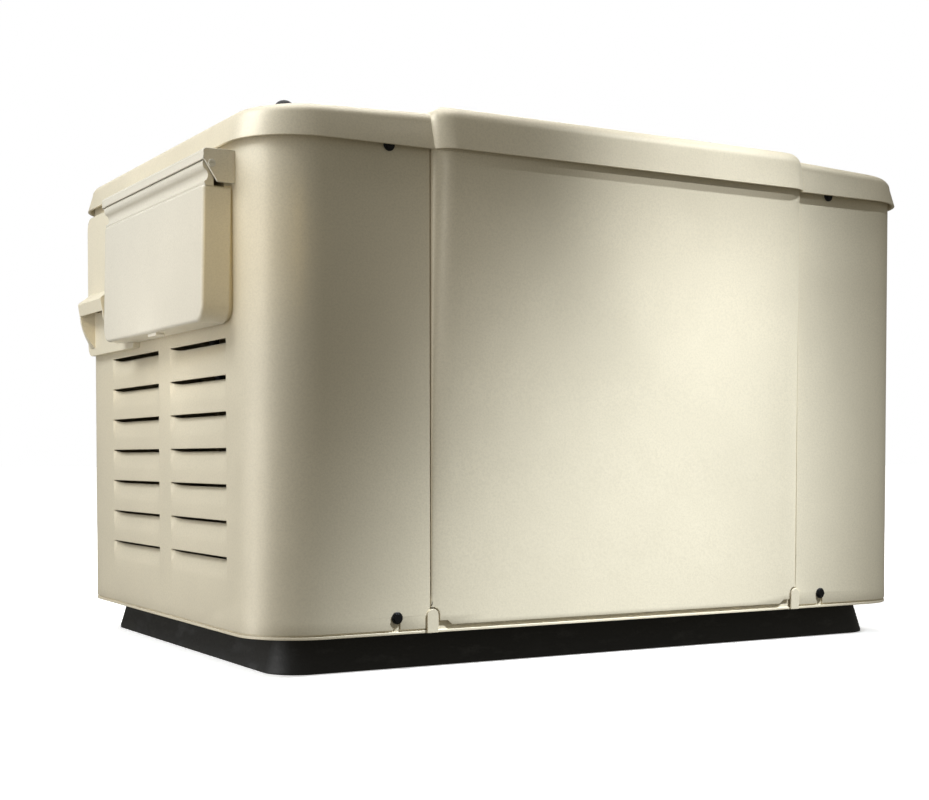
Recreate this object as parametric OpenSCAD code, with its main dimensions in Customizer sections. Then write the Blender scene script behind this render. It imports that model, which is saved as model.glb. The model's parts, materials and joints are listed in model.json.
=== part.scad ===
// Home standby generator: a sheet-metal cabinet on a pad, with a hinged roof, a control
// door on its left end, and an air-cooled engine, alternator, battery and muffler inside.
// Millimetres. Origin: centre of the pad's underside. Front faces -Y, control end faces -X.

/* [Enclosure] */
// Length of the sheet-metal body
body_l = 935; // [931:1:939]
// Depth of the sheet-metal body
body_d = 654; // [650:1:658]
// Radius of the body's vertical corners
corner_r = 73; // [70:1:76]
// Thickness of the enclosure's sheet metal
sheet = 2; // [1.6:0.1:2.4]
// Half width of the middle section, centre to seam
seam_x = 267; // [265:1:269]
// Height of the pad
pad_h = 41.5; // [40:0.5:43]
// Inset of the pad's foot from the body's outline
pad_inset = 31; // [28:1:34]
// Height of the lower edge of the end wraps
wrap_z = 46.6; // [46:0.2:48]
// Height of the lower edge of the front and rear panels
panel_z = 49.5; // [48:0.5:51]
// Height of the top edge of all walls, inside the roof
wall_top = 588; // [584:1:590]
// How far the front panel stands proud at its top edge
proud_top = 15; // [12:1:18]
// How far the front panel stands proud at its bottom edge
proud_bottom = 1.5; // [1:0.5:3]
// Width of the front panel's rounded shoulders
shoulder = 26; // [22:1:30]

/* [Roof] */
// Height of the lower edge of the roof's skirt
skirt_z = 572.5; // [571:0.5:574]
// Height of the roof at its ends
roof_end_z = 607; // [605:1:609]
// Height of the roof beside the middle section
roof_seam_z = 614.6; // [613:0.2:616]
// Height of the raised middle section
roof_mid_z = 621; // [619:1:623]
// Flare of the skirt's lower edge beyond the body
flare = 9; // [8:1:10]
// Wall thickness of the roof
roof_wall = 3; // [2.5:0.5:3]
// Height of the roof's hinge axis
hinge_z = 567; // [566:0.5:568]
// Distance of the roof's hinge axis behind the body's back
hinge_back = 16; // [15:0.5:17]

/* [Control door] */
// Near edge of the door
door_y0 = -251; // [-252:1:-250]
// Far edge of the door
door_y1 = 106; // [105:1:107]
// Height of the door's lower edge
door_z0 = 381; // [380:1:382]
// Height of the door's shoulder, under its hinge neck
door_z1 = 527; // [525:1:528]
// Distance of the door's outer face from the end of the body
door_out = 33; // [32:0.5:34]
// Height of the door's pivot
door_pivot_z = 548; // [547:0.5:549]
// Distance of the door's pivot from the end of the body
door_pivot_out = 26.5; // [26:0.5:27]
// Angle at which the unlatched door hangs
door_hang = 1.2; // [0:0.1:1.5]
// Thickness of the plastic bezel behind the door
bezel_t = 9; // [8:0.5:9]

/* [Engine and alternator] */
// Sideways position of the crankshaft
shaft_y = 20; // [18:1:22]
// Height of the crankshaft
shaft_z = 225; // [223:1:226]
// Radius of the crankshaft's journals
shaft_r = 17.45; // [16:0.05:18]
// Radius of the cylinder bore
bore_r = 44; // [42:0.5:45]
// Crank radius, half of the stroke
crank_r = 33; // [30:1:34]
// Radius of the rotor
rotor_r = 78; // [76:1:80]
// Outer radius of the alternator's can
can_r = 115; // [114:1:116]
// Radius of the muffler
muffler_r = 65; // [62:1:66]

/* [Hidden] */
$fn = 64;

end_x = body_l / 2;
face_y = body_d / 2;
pan_t = 3;
floor_z = pad_h + pan_t;
thin = 0.01;
cream = "#e4dcc4";
black = "#1d1d1e";
steel = "#9a9c9e";
cast = "#b4b6b8";

// ---- helpers --------------------------------------------------------------------------

// Rounded rectangle about the origin
module rounded(l, d, r) {
    square([l - 2 * r, d], center = true);
    square([l, d - 2 * r], center = true);
    for (x = [-1, 1], y = [-1, 1])
        translate([x * (l / 2 - r), y * (d / 2 - r)]) circle(r);
}

// Rounded rectangle between two corners
module rounded_box(a, b, r) {
    translate((a + b) / 2) rounded(b.x - a.x, b.y - a.y, r);
}

// The body's outline, moved inwards
module outline(inset) {
    rounded(body_l - 2 * inset, body_d - 2 * inset, corner_r - inset);
}

// A band that follows the body's outline
module outline_band(inset, wall) {
    difference() {
        outline(inset);
        outline(inset + wall);
    }
}

// Extrudes a Y-Z outline along +X, from x0
module along_x(x0, len) {
    translate([x0, 0, 0]) rotate([90, 0, 90]) linear_extrude(len) children();
}

// Extrudes an X-Z outline along +Y, from y0
module along_y(y0, len) {
    translate([0, y0 + len, 0]) rotate([90, 0, 0]) linear_extrude(len) children();
}

// Round bar along X, Y or Z, from a point
module bar_x(p, r, len) { translate(p) rotate([0, 90, 0]) cylinder(r = r, h = len); }
module bar_y(p, r, len) { translate(p) rotate([-90, 0, 0]) cylinder(r = r, h = len); }
module bar_z(p, r, len) { translate(p) cylinder(r = r, h = len); }

// Box between two corners
module block(a, b) { translate(a) cube(b - a); }

// ---- louvres --------------------------------------------------------------------------

louvre_h = 23;
louvre_slit = 3.6;
louvre_in = 10;
louvre_skin = 1.6;

// The window cut for one louvre; outer face at x = 0, inwards is +X, slit at z = 0
module louvre_window(w) {
    block([-1, 0, -louvre_h], [sheet + 1, w, louvre_slit]);
}

// The pressed blade and its two cheeks
module louvre_blade(w) {
    tip = louvre_in - louvre_skin;
    along_y(0, w) polygon([[0, -louvre_h], [sheet, -louvre_h], [louvre_in, 0], [tip, 0]]);
    for (y = [0, w - louvre_skin])
        along_y(y, louvre_skin) polygon([[0, -louvre_h], [louvre_in, 0], [0, 0]]);
}

// Sheet with louvres: the child, cut and filled at each [y, width, z]
module louvred(places) {
    difference() {
        children();
        for (p = places) translate([0, p[0], p[2]]) louvre_window(p[1]);
    }
    for (p = places) translate([0, p[0], p[2]]) louvre_blade(p[1]);
}

// ---- enclosure ------------------------------------------------------------------------

anchor_x = 200;
anchor_y = 270;
anchor_r = 6.5;
pocket = [88, 84];
pocket_rib = 9;
pocket_count = [8, 5];

module anchor_holes() {
    for (x = [-1, 1], y = [-1, 1])
        bar_z([x * anchor_x, y * anchor_y, -1], anchor_r, floor_z + 2);
}

module base_pad() {
    foot_l = body_l - 2 * pad_inset;
    foot_d = body_d - 2 * pad_inset;
    taper = 11;
    step = pocket + [pocket_rib, pocket_rib];
    color(black) difference() {
        hull() {
            linear_extrude(3) rounded(foot_l, foot_d, 42);
            translate([0, 0, 13]) linear_extrude(thin) rounded(foot_l - 12, foot_d - 12, 38);
            translate([0, 0, pad_h - 3])
                linear_extrude(3) rounded(foot_l - 2 * taper, foot_d - 2 * taper, 32);
        }
        for (i = [0 : pocket_count.x - 1], j = [0 : pocket_count.y - 1]) {
            x = (i - (pocket_count.x - 1) / 2) * step.x;
            y = (j - (pocket_count.y - 1) / 2) * step.y;
            translate([x - pocket.x / 2, y - pocket.y / 2, -1]) cube([pocket.x, pocket.y, 30]);
        }
        anchor_holes();
    }
}

tab_w = 14;
tab_top = 68;
tab_x = seam_x - 2;
upstand_h = 24;
slot_r = 4.5;
wrap_bolt_x = 309;
wrap_bolt_z = 60;

// Thumb-shaped lug that stands in front of a seam and hooks the panel's corner
module seam_tab(x) {
    along_y(-face_y - 2.3, 2.3) {
        translate([x - tab_w / 2, pad_h]) square([tab_w, tab_top - pad_h - tab_w / 2]);
        translate([x, tab_top - tab_w / 2]) circle(tab_w / 2);
    }
}

module base_pan() {
    color(cream) difference() {
        union() {
            translate([0, 0, pad_h]) linear_extrude(pan_t) outline(0);
            translate([0, 0, floor_z]) linear_extrude(upstand_h) outline_band(sheet, 2.5);
            for (x = [-tab_x, tab_x]) {
                seam_tab(x);
                block([x - tab_w / 2, -face_y - 2.3, pad_h], [x + tab_w / 2, -face_y + 5, floor_z]);
            }
        }
        anchor_holes();
        for (x = [-wrap_bolt_x, wrap_bolt_x])
            bar_y([x, -face_y - 1, wrap_bolt_z], 3.3, body_d + 2);
    }
}

top_bolt_x = 318;
top_bolt_z = 573;
lip = 14;

// One end wrap's sheet, for the +X end: three sides, with a return lip along each seam
module wrap_sheet() {
    difference() {
        union() {
            translate([0, 0, wrap_z]) linear_extrude(wall_top - wrap_z) intersection() {
                outline_band(0, sheet);
                translate([seam_x, -body_d]) square([body_l, 2 * body_d]);
            }
            for (y = [-face_y, face_y - lip])
                block([seam_x, y, wrap_z + 31], [seam_x + sheet, y + lip, wall_top]);
        }
        bar_y([top_bolt_x, -face_y - 1, top_bolt_z], 3.3, body_d + 2);
        for (y = [-face_y - 1, face_y - sheet - 1])
            along_y(y, sheet + 2) {
                translate([wrap_bolt_x, wrap_bolt_z]) circle(slot_r);
                translate([wrap_bolt_x - slot_r, 0]) square([2 * slot_r, wrap_bolt_z]);
            }
    }
}

louvre_rows = [for (i = [0 : 6]) 362.5 - 40 * i];
louvre_columns = [[-228, 184], [-2, 187]];
end_louvres = [for (c = louvre_columns, z = louvre_rows) [c[0], c[1], z]];

control_a = [-236, 394];
control_b = [92, 520];
collar = 3;

module left_end_wrap() {
    cut_a = control_a - [collar, collar];
    cut_b = control_b + [collar, collar];
    color(cream) difference() {
        translate([-end_x, 0, 0]) louvred(end_louvres)
            translate([end_x, 0, 0]) mirror([1, 0, 0]) wrap_sheet();
        along_x(-end_x - 1, sheet + 2) rounded_box(cut_a, cut_b, 8);
        along_x(-end_x - 1, sheet + 2)
            for (z = cowl_slot_z) translate([cowl_slot_y, z]) square(cowl_slot);
    }
}

exhaust_y = 120;
exhaust_z = 425;

module right_end_wrap() {
    color(cream) difference() {
        mirror([1, 0, 0]) translate([-end_x, 0, 0]) louvred(end_louvres)
            translate([end_x, 0, 0]) mirror([1, 0, 0]) wrap_sheet();
        bar_x([end_x - 10, exhaust_y, exhaust_z], 24, 20);
    }
}

panel_half = seam_x - 0.8;

// Plan outline of the proud middle section: half width w, shoulder s, outermost offset p,
// offset e at the seams, and back edge at y = back; the shoulders are quarter ellipses
function proud_outline(w, s, p, e, back) = concat(
    [[w, back]],
    [for (i = [0 : 6]) [w - s + s * cos(15 * i), -face_y - e - (p - e) * sin(15 * i)]],
    [for (i = [6 : -1 : 0]) [-w + s - s * cos(15 * i), -face_y - e - (p - e) * sin(15 * i)]],
    [[-w, back]]);

// Solid block inside the front panel's outer face, moved inwards by t
module panel_block(t, z0, z1, back) {
    h = wall_top - panel_z;
    p0 = proud_bottom + (proud_top - proud_bottom) * (z0 - panel_z) / h;
    p1 = proud_bottom + (proud_top - proud_bottom) * (z1 - panel_z) / h;
    hull() {
        translate([0, t, z0]) linear_extrude(thin)
            polygon(proud_outline(panel_half - t, shoulder, p0, 0, back));
        translate([0, t, z1 - thin]) linear_extrude(thin)
            polygon(proud_outline(panel_half - t, shoulder, p1, 0, back));
    }
}

notch_x = 256;
notch_z = 70;
foot_notch_x = 240;
foot_notch_z = 54.5;
tuck = 1.2;

module front_panel() {
    color(cream) difference() {
        panel_block(0, panel_z, wall_top, -face_y + lip);
        panel_block(sheet, panel_z - 1, wall_top - sheet, -face_y + lip + 1);
        for (s = [-1, 1]) {
            translate([s * (notch_x + 10), -face_y, 0])
                cube([20, 60, 2 * notch_z], center = true);
            translate([s * (foot_notch_x + 20), -face_y, 0])
                cube([40, 60, 2 * foot_notch_z], center = true);
            block([s * seam_x - 12, -face_y - 2 * proud_top, skirt_z - 1],
                [s * seam_x + 12, -face_y - tuck, wall_top + 1]);
        }
    }
}

gas_x = -55;
conduit_x = -200;
entry_z = 130;
rear_louvres = [for (y = [-232, 27], i = [0 : 6]) [y, 205, 520 - 40 * i]];

module rear_panel() {
    color(cream) difference() {
        union() {
            translate([0, face_y, 0]) rotate([0, 0, -90]) louvred(rear_louvres)
                block([0, -panel_half, panel_z], [sheet, panel_half, wall_top]);
            for (x = [-panel_half, panel_half - sheet])
                block([x, face_y - lip, panel_z + 28], [x + sheet, face_y, wall_top]);
            block([-panel_half, face_y - lip, wall_top - sheet], [panel_half, face_y, wall_top]);
        }
        bar_y([gas_x, face_y - 10, entry_z], 17, 20);
        bar_y([conduit_x, face_y - 10, entry_z], 18, 20);
    }
}

plug_x = 424;
plug_y = -290;
plug_hole_r = 7;

function roof_z_at(x) = roof_end_z + (roof_seam_z - roof_end_z) * (end_x - x) / (end_x - seam_x);

// Thin slice of the body's outline, moved outwards by g, at height z
module end_slice(g, z) { translate([0, 0, z]) linear_extrude(thin) outline(-g); }

// Thin rectangle as long as the middle section, moved outwards by g, at height z
module ridge_slice(g, z) {
    translate([-seam_x, -face_y - g, z]) cube([2 * seam_x, body_d + 2 * g, thin]);
}

// The roof's two ends as one convex block, moved inwards by t
module roof_ends(t) {
    hull() {
        end_slice(flare - t, skirt_z - t / 3);
        end_slice(2.5 - t, roof_end_z - 13 - t);
        end_slice(-1.5 - t, roof_end_z - 5.5 - t);
        end_slice(-12, roof_end_z - t - thin);
        ridge_slice(2.5 - t, roof_seam_z - 13 - t);
        ridge_slice(-1.5 - t, roof_seam_z - 5.5 - t);
        ridge_slice(-12, roof_seam_z - t - thin);
    }
}

// Thin slice of the raised middle section: offsets p and e at height z, half width w
module middle_slice(p, e, z, w, t) {
    translate([0, 0, z]) linear_extrude(thin)
        polygon(proud_outline(w - t, shoulder, proud_top + p - t, e - t, face_y + e - t));
}

// The raised middle section as one convex block, moved inwards by t
module roof_middle(t) {
    hull() {
        middle_slice(flare, flare, skirt_z - t / 3, seam_x, t);
        middle_slice(2.5, 2.5, roof_seam_z - 12 - t, seam_x, t);
        middle_slice(0.5, -1, roof_seam_z - 3 - t, seam_x - 1, t);
        middle_slice(-4, -5, roof_mid_z - 4 - t, seam_x - 7, t);
        middle_slice(-13, -13, roof_mid_z - t - thin, seam_x - 18, t);
    }
}

module roof() {
    color(cream) difference() {
        union() {
            roof_ends(0);
            roof_middle(0);
        }
        roof_ends(roof_wall);
        roof_middle(roof_wall);
        for (s = [-1, 1]) bar_z([s * plug_x, plug_y, 560], plug_hole_r, 80);
    }
}

module roof_plugs() {
    z = roof_z_at(plug_x + 12);
    for (s = [-1, 1]) color(black) translate([s * plug_x, plug_y, z]) {
        translate([0, 0, -8]) cylinder(r = plug_hole_r - 0.2, h = 9);
        intersection() {
            translate([0, 0, -5]) sphere(r = 12.5);
            translate([0, 0, 0.9]) cylinder(r = 10.5, h = 12);
        }
    }
}

hinge_x = 180;
knuckle_r = 6;
pin_r = 2.5;
hinge_w = 50;
knuckle_w = 14;
hinge_y = face_y + hinge_back;

// Hinge knuckle along X, bored for its pin
module knuckle(x, w, hole) {
    difference() {
        bar_x([x, hinge_y, hinge_z], knuckle_r, w);
        bar_x([x - 1, hinge_y, hinge_z], hole, w + 2);
    }
}

// Back face of the roof's middle section at height z
function skirt_face(z) =
    face_y + flare + (2.5 - flare) * (z - skirt_z) / (roof_seam_z - 12 - skirt_z);

module frame_hinge_leaves() {
    for (s = [-1, 1]) translate([s * hinge_x - hinge_w / 2, 0, 0]) color(steel) {
        along_x(0, hinge_w) translate([face_y, 505]) square([2.5, 44]);
        for (x = [0, hinge_w - knuckle_w]) {
            difference() {
                along_x(x, knuckle_w) polygon([[face_y + 2.4, 530], [face_y + 2.4, 548],
                    [hinge_y - 5, hinge_z - 1], [hinge_y, hinge_z - 3], [hinge_y + 2, hinge_z - 5]]);
                bar_x([x - 1, hinge_y, hinge_z], pin_r, knuckle_w + 2);
            }
            knuckle(x, knuckle_w, pin_r);
        }
    }
}

module roof_hinge_leaves() {
    w = hinge_w - 2 * knuckle_w - 1;
    low_z = skirt_z + 0.8;
    high_z = 597;
    low_y = skirt_face(low_z) + 0.1;
    high_y = skirt_face(high_z) + 0.1;
    for (s = [-1, 1]) translate([s * hinge_x - w / 2, 0, 0]) color(steel) {
        along_x(0, w) polygon([[low_y, low_z], [high_y, high_z], [high_y + 2.4, high_z],
            [low_y + 2.6, low_z + 2], [hinge_y + 3, hinge_z + 5], [hinge_y, hinge_z + 3.5],
            [hinge_y - 4, hinge_z + 4]]);
        knuckle(0, w, pin_r + 0.05);
    }
}

module hinge_pins() {
    for (s = [-1, 1]) color(steel) translate([s * hinge_x - hinge_w / 2 - 2, 0, 0]) {
        bar_x([0, hinge_y, hinge_z], pin_r, hinge_w + 4);
        bar_x([-1.5, hinge_y, hinge_z], pin_r + 1.5, 1.5);
    }
}

// Hexagon flange bolt, head outwards along +Z, underside of the head at z = 0
module flange_bolt(r, shank_r, shank) {
    cylinder(r = r, h = 1.4);
    translate([0, 0, 1.4]) cylinder(r = r - 0.7, h = 0.7);
    translate([0, 0, 2.1]) cylinder(r = r * 0.78, h = 1.6, $fn = 6);
    translate([0, 0, -shank]) cylinder(r = shank_r, h = shank);
}

module wrap_bolts() {
    places = [for (x = [-1, 1]) each [[x * top_bolt_x, top_bolt_z], [x * wrap_bolt_x, wrap_bolt_z]]];
    color(black) for (p = places) {
        translate([p[0], -face_y, p[1]]) rotate([90, 0, 0]) flange_bolt(6.7, 3, 12);
        translate([p[0], face_y, p[1]]) rotate([-90, 0, 0]) flange_bolt(6.7, 3, 12);
    }
}

// ---- control end ----------------------------------------------------------------------

bezel_x = -end_x - bezel_t;
bezel_a = [-248, 384];
bezel_b = [268, 561];
bezel_step = [70, 374];
bezel_r = 16;
cowl_a = [120, 385];
cowl_b = [257, 457];
cowl_brow = [129, 244];
cowl_lip = [135, 238];
cowl_slot = [72, 5];
cowl_slot_y = 152;
cowl_slot_z = [430 : 8 : 446];

// The downward-open cowl as one convex wedge, moved inwards by t and opened below by drop
module cowl_wedge(t, drop) {
    hull() {
        block([bezel_x, cowl_a.x + t, cowl_a.y - drop], [bezel_x + thin, cowl_b.x - t, cowl_b.y - t]);
        block([bezel_x - 6, cowl_brow[0] + t, 440], [bezel_x - 5.9, cowl_brow[1] - t, 453.5 - t]);
        block([bezel_x - 22.5 + t, cowl_lip[0] + t, 441 - t],
            [bezel_x - 22.4 + t, cowl_lip[1] - t, 442.6 - t]);
        block([bezel_x - 19.5 + t, cowl_lip[0] + t, 424.5 - drop],
            [bezel_x - 19.4 + t, cowl_lip[1] - t, 430]);
    }
}

module control_bezel() {
    collar_a = control_a - [collar, collar];
    collar_b = control_b + [collar, collar];
    color(cream) {
        along_x(bezel_x, bezel_t) difference() {
            union() {
                rounded_box(bezel_a, bezel_b, bezel_r);
                rounded_box(bezel_step, bezel_b, bezel_r);
            }
            rounded_box(control_a, control_b, 6);
            for (z = cowl_slot_z) translate([cowl_slot_y, z]) square(cowl_slot);
        }
        along_x(bezel_x + 1, 24) difference() {
            rounded_box(collar_a + [0.3, 0.3], collar_b - [0.3, 0.3], 7);
            rounded_box(control_a, control_b, 6);
        }
        along_x(fascia_x + 2, 2) difference() {
            rounded_box(control_a - [1, 1], control_b + [1, 1], 6);
            rounded_box(house_a, house_b, 6);
            translate(breaker_a) square(breaker_b - breaker_a);
            translate(fuse_a) square(fuse_b - fuse_a);
        }
        difference() {
            cowl_wedge(0, 0);
            cowl_wedge(3, 12);
        }
    }
}

door_x = -end_x - door_out;
pivot_x = -end_x - door_pivot_out;
hood_x = -end_x - 35.5;
hood_y0 = -258;
hood_y1 = 110;
hood_z = 564;
hood_lip_z = 553.5;
cheek = 3;
door_screw_r = 2;

module door_hood() {
    side = [[-end_x, 529], [-end_x, hood_z], [hood_x, hood_z], [hood_x, hood_lip_z],
        [-end_x - 20, 530]];
    color(cream) difference() {
        union() {
            block([hood_x, hood_y0, hood_z - 2.5], [-end_x, hood_y1, hood_z]);
            block([hood_x, hood_y0, hood_lip_z], [hood_x + 2, hood_y1, hood_z]);
            along_y(hood_y0, cheek) polygon(side);
            difference() {
                along_y(hood_y1 - cheek, cheek) polygon(side);
                block([bezel_x, hood_y1 - 10, 500], [0, hood_y1 + 1, hood_z - 3]);
            }
        }
        bar_y([pivot_x, hood_y0 - 1, door_pivot_z], door_screw_r, hood_y1 - hood_y0 + 2);
    }
}

door_skin = 2.2;
door_r = 19;
finger_y = [-90, -60];
barrel_r = 7.5;
barrel_y0 = door_y0 - 3;
screw_depth = 16;

// The door when it is shut: a tray whose near and lower walls reach past the bezel's edges,
// a hinge barrel, and the neck between them
module shut_door() {
    rim = bezel_x - 0.5;
    deep_rim = -end_x - 1.5;
    deep_y1 = bezel_step.x - 5;
    difference() {
        union() {
            along_x(door_x, rim - door_x)
                rounded_box([door_y0, door_z0], [door_y1, door_z1], door_r);
            along_x(door_x + door_skin, deep_rim - door_x - door_skin) difference() {
                rounded_box([door_y0, door_z0], [door_y1, door_z1], door_r);
                translate([deep_y1, door_z0 - 1])
                    square([door_y1 - deep_y1 + 1, door_z1 - door_z0 + 2]);
                translate([door_y0 + door_skin, door_z1 - 60]) square(door_y1 - door_y0);
            }
            along_x(door_x, rim - door_x)
                rounded_box([door_y0, door_z1 - 60], [door_y1, door_z1], 4);
            along_y(door_y0, door_y1 - door_y0) polygon([[pivot_x - 5, door_pivot_z - 4],
                [pivot_x + 2, door_pivot_z - 5], [pivot_x + 5.5, 533], [pivot_x + 5.5, door_z1 - 1],
                [pivot_x + 1.5, door_z1 - 1], [pivot_x + 2.5, 532.5], [pivot_x - 3, 540]]);
            bar_y([pivot_x, barrel_y0, door_pivot_z], barrel_r, door_y1 - barrel_y0);
            block([door_x + 4, finger_y[0], door_z0 - 4], [door_x + 15, finger_y[1], door_z0 + 1]);
        }
        along_x(door_x + door_skin, 60) {
            rounded_box([door_y0 + door_skin, door_z0 + door_skin],
                [door_y1 - door_skin, door_z1 - door_skin], door_r - 2);
            rounded_box([door_y0 + door_skin, door_z1 - 60],
                [door_y1 - door_skin, door_z1 - door_skin], 3);
        }
        bar_y([pivot_x, barrel_y0 - 1, door_pivot_z], door_screw_r + 0.05, screw_depth + 1);
        bar_y([pivot_x, door_y1 - screw_depth, door_pivot_z], door_screw_r + 0.05, screw_depth + 1);
    }
}

module control_door() {
    color("#ddd6c6") translate([pivot_x, 0, door_pivot_z]) rotate([0, door_hang, 0])
        translate([-pivot_x, 0, -door_pivot_z]) shut_door();
}

module door_pivot_screws() {
    reach = 14;
    color(steel) for (end = [[hood_y0, 1], [hood_y1, -1]])
        translate([pivot_x, end[0], door_pivot_z]) rotate([-90 * end[1], 0, 0]) {
            cylinder(r = door_screw_r, h = cheek + reach);
            translate([0, 0, -2.4]) difference() {
                cylinder(r = 4, h = 2.4);
                translate([-3, -0.5, -1]) cube([6, 1, 2]);
            }
        }
}

fascia_x = -474;
house_a = [-228, 402];
house_b = [32, 512];
key_size = [14, 9];
key_gap = 0.3;
key_flange = 2;
key_proud = 1.6;
key_body = 6;
// Centre of each key on the fascia, as [y, z]
mode_keys = [for (i = [0 : 2]) [-190 + 30 * i, 426]];
menu_keys = [for (i = [0 : 1]) [-90 + 30 * i, 426]];
all_keys = concat(mode_keys, menu_keys);
lamps = [for (i = [0 : 2]) [-80, 490 - 14 * i]];
lamp_r = 2.5;
display_a = [-206, 452];
display_b = [-104, 498];
breaker_a = [42, 420];
breaker_b = [84, 504];
fuse_a = [46, 400];
fuse_b = [80, 415];

module controller_housing() {
    wall = 2.5;
    color(black) difference() {
        along_x(fascia_x, 44) rounded_box(house_a, house_b, 6);
        along_x(fascia_x + wall, 50) rounded_box(house_a + [wall, wall], house_b - [wall, wall], 4);
        for (k = all_keys) block(
            [fascia_x - 1, k[0] - key_size.x / 2 - key_gap, k[1] - key_size.y / 2 - key_gap],
            [fascia_x + 5, k[0] + key_size.x / 2 + key_gap, k[1] + key_size.y / 2 + key_gap]);
        for (p = lamps) bar_x([fascia_x - 1, p[0], p[1]], lamp_r, 6);
        block([fascia_x - 1, display_a.x + 4, display_a.y + 4],
            [fascia_x + 5, display_b.x - 4, display_b.y - 4]);
        block([fascia_x - 1, display_a.x, display_a.y], [fascia_x + 1, display_b.x, display_b.y]);
    }
}

module circuit_board() {
    color("#2f6b3c") block([-461, -222, 408], [-459.4, 26, 506]);
    color(black) for (p = [[-180, 440], [-120, 470], [-60, 440], [0, 470]])
        block([-459.4, p[0] - 14, p[1] - 12], [-450, p[0] + 14, p[1] + 12]);
}

module display_window() {
    color("#31464a") block([fascia_x - 0.4, display_a.x, display_a.y],
        [fascia_x + 1, display_b.x, display_b.y]);
}

module status_lights() {
    for (i = [0 : 2]) color(["#46c04c", "#e7b52c", "#d1342b"][i]) {
        p = lamps[i];
        bar_x([fascia_x, p[0], p[1]], lamp_r, 8);
        intersection() {
            translate([fascia_x + 1, p[0], p[1]]) sphere(r = 2.9);
            bar_x([fascia_x - 3, p[0], p[1]], lamp_r, 3);
        }
    }
}

// Push key: a cap that passes the fascia, and a wider flange behind it
module key(at) {
    inner = fascia_x + 2.5;
    travel = 0.2;
    block([fascia_x - key_proud, at[0] - key_size.x / 2, at[1] - key_size.y / 2],
        [inner + key_body, at[0] + key_size.x / 2, at[1] + key_size.y / 2]);
    block([inner + travel, at[0] - key_size.x / 2 - key_flange, at[1] - key_size.y / 2 - key_flange],
        [inner + travel + 2, at[0] + key_size.x / 2 + key_flange, at[1] + key_size.y / 2 + key_flange]);
}

module key_auto() { color("#3f9a4d") key(mode_keys[0]); }
module key_off() { color("#c23b30") key(mode_keys[1]); }
module key_manual() { color("#3b6fb0") key(mode_keys[2]); }
module key_menu() { color("#8b8f92") key(menu_keys[0]); }
module key_enter() { color("#8b8f92") key(menu_keys[1]); }

toggle_x = -464;
toggle_y0 = 50;
toggle_y1 = 76;
toggle_z = 462;
toggle_r = 8;

module main_breaker() {
    color("#2a2a2c") difference() {
        union() {
            along_x(fascia_x, 62) translate(breaker_a) square(breaker_b - breaker_a);
            block([fascia_x - 3, 46, 438], [fascia_x, 80, 486]);
        }
        bar_y([toggle_x, toggle_y0 - 0.4, toggle_z], toggle_r + 0.4, toggle_y1 - toggle_y0 + 0.8);
        block([fascia_x - 4, toggle_y0 - 0.4, toggle_z - 20],
            [toggle_x, toggle_y1 + 0.4, toggle_z + 20]);
    }
}

module breaker_toggle() {
    color("#e8e8e6") translate([toggle_x, 0, toggle_z]) rotate([0, 22, 0]) {
        bar_y([0, toggle_y0, 0], toggle_r, toggle_y1 - toggle_y0);
        along_y(toggle_y0, toggle_y1 - toggle_y0)
            polygon([[0, -4.5], [-19, -3], [-20, -2], [-20, 2], [-19, 3], [0, 4.5]]);
    }
}

module fuse_holder() {
    color(black) difference() {
        along_x(fascia_x, 29) translate(fuse_a) square(fuse_b - fuse_a);
        block([fascia_x - 1, 54, 404], [fascia_x + 8, 72, 411]);
    }
    color("#3d6cc0") block([fascia_x - 2, 54.5, 404.5], [fascia_x + 8, 71.5, 410.5]);
}

// ---- battery --------------------------------------------------------------------------

battery_a = [-430, -297];
battery_b = [-230, -132];
battery_z = 50;
battery_top = 236;
strap_x = -345;
post_x = [-400, -260];

module battery_tray() {
    lip_h = 14;
    color(black) difference() {
        block([battery_a.x - 5, battery_a.y - 5, floor_z],
            [battery_b.x + 5, battery_b.y + 5, battery_z + lip_h]);
        block([battery_a.x - 1, battery_a.y - 1, battery_z],
            [battery_b.x + 1, battery_b.y + 1, battery_z + 2 * lip_h]);
        for (x = [-390 : 30 : -270])
            block([x - 8, battery_a.y + 20, floor_z - 1], [x + 8, battery_b.y - 20, battery_z + 1]);
    }
}

module battery() {
    color("#242527") {
        difference() {
            translate([0, 0, battery_z]) linear_extrude(160) rounded_box(battery_a, battery_b, 6);
            for (x = [-400 : 28 : -260], y = [battery_a.y - 1, battery_b.y - 1.5])
                block([x - 9, y, 80], [x + 9, y + 2.5, 190]);
        }
        translate([0, 0, battery_z + 160]) linear_extrude(14)
            rounded_box(battery_a + [-1, -1], battery_b + [1, 1], 7);
        block([battery_a.x + 20, -234, 224], [battery_b.x - 20, -198, battery_top - 8]);
    }
    color(steel) for (x = post_x) translate([x, -160, 224]) {
        cylinder(r = 14, h = 2);
        cylinder(r = 8.5, h = 16);
    }
}

module battery_strap() {
    y0 = battery_a.y - 9;
    y1 = battery_b.y + 9;
    color(steel) {
        block([strap_x - 8, y0 - 5, battery_top - 7.8], [strap_x + 8, y1 + 5, battery_top - 4.8]);
        for (y = [y0, y1]) {
            bar_z([strap_x, y, floor_z], 3, battery_top - floor_z + 4);
            translate([strap_x, y, battery_top - 4.8]) cylinder(r = 6, h = 5, $fn = 6);
        }
    }
}

// ---- engine ---------------------------------------------------------------------------

rail_y = 120;
rail_x0 = -330;
rail_x1 = 215;
rail_z0 = 70;
rail_z1 = 100;
mount_x = [-300, 190];
case_x0 = -60;
case_x1 = 140;
case_z0 = 110;
case_z1 = 300;
case_half = 100;
cyl_x = 40;
barrel_top = 400;
head_top = 455;
port_z = exhaust_z;

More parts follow.
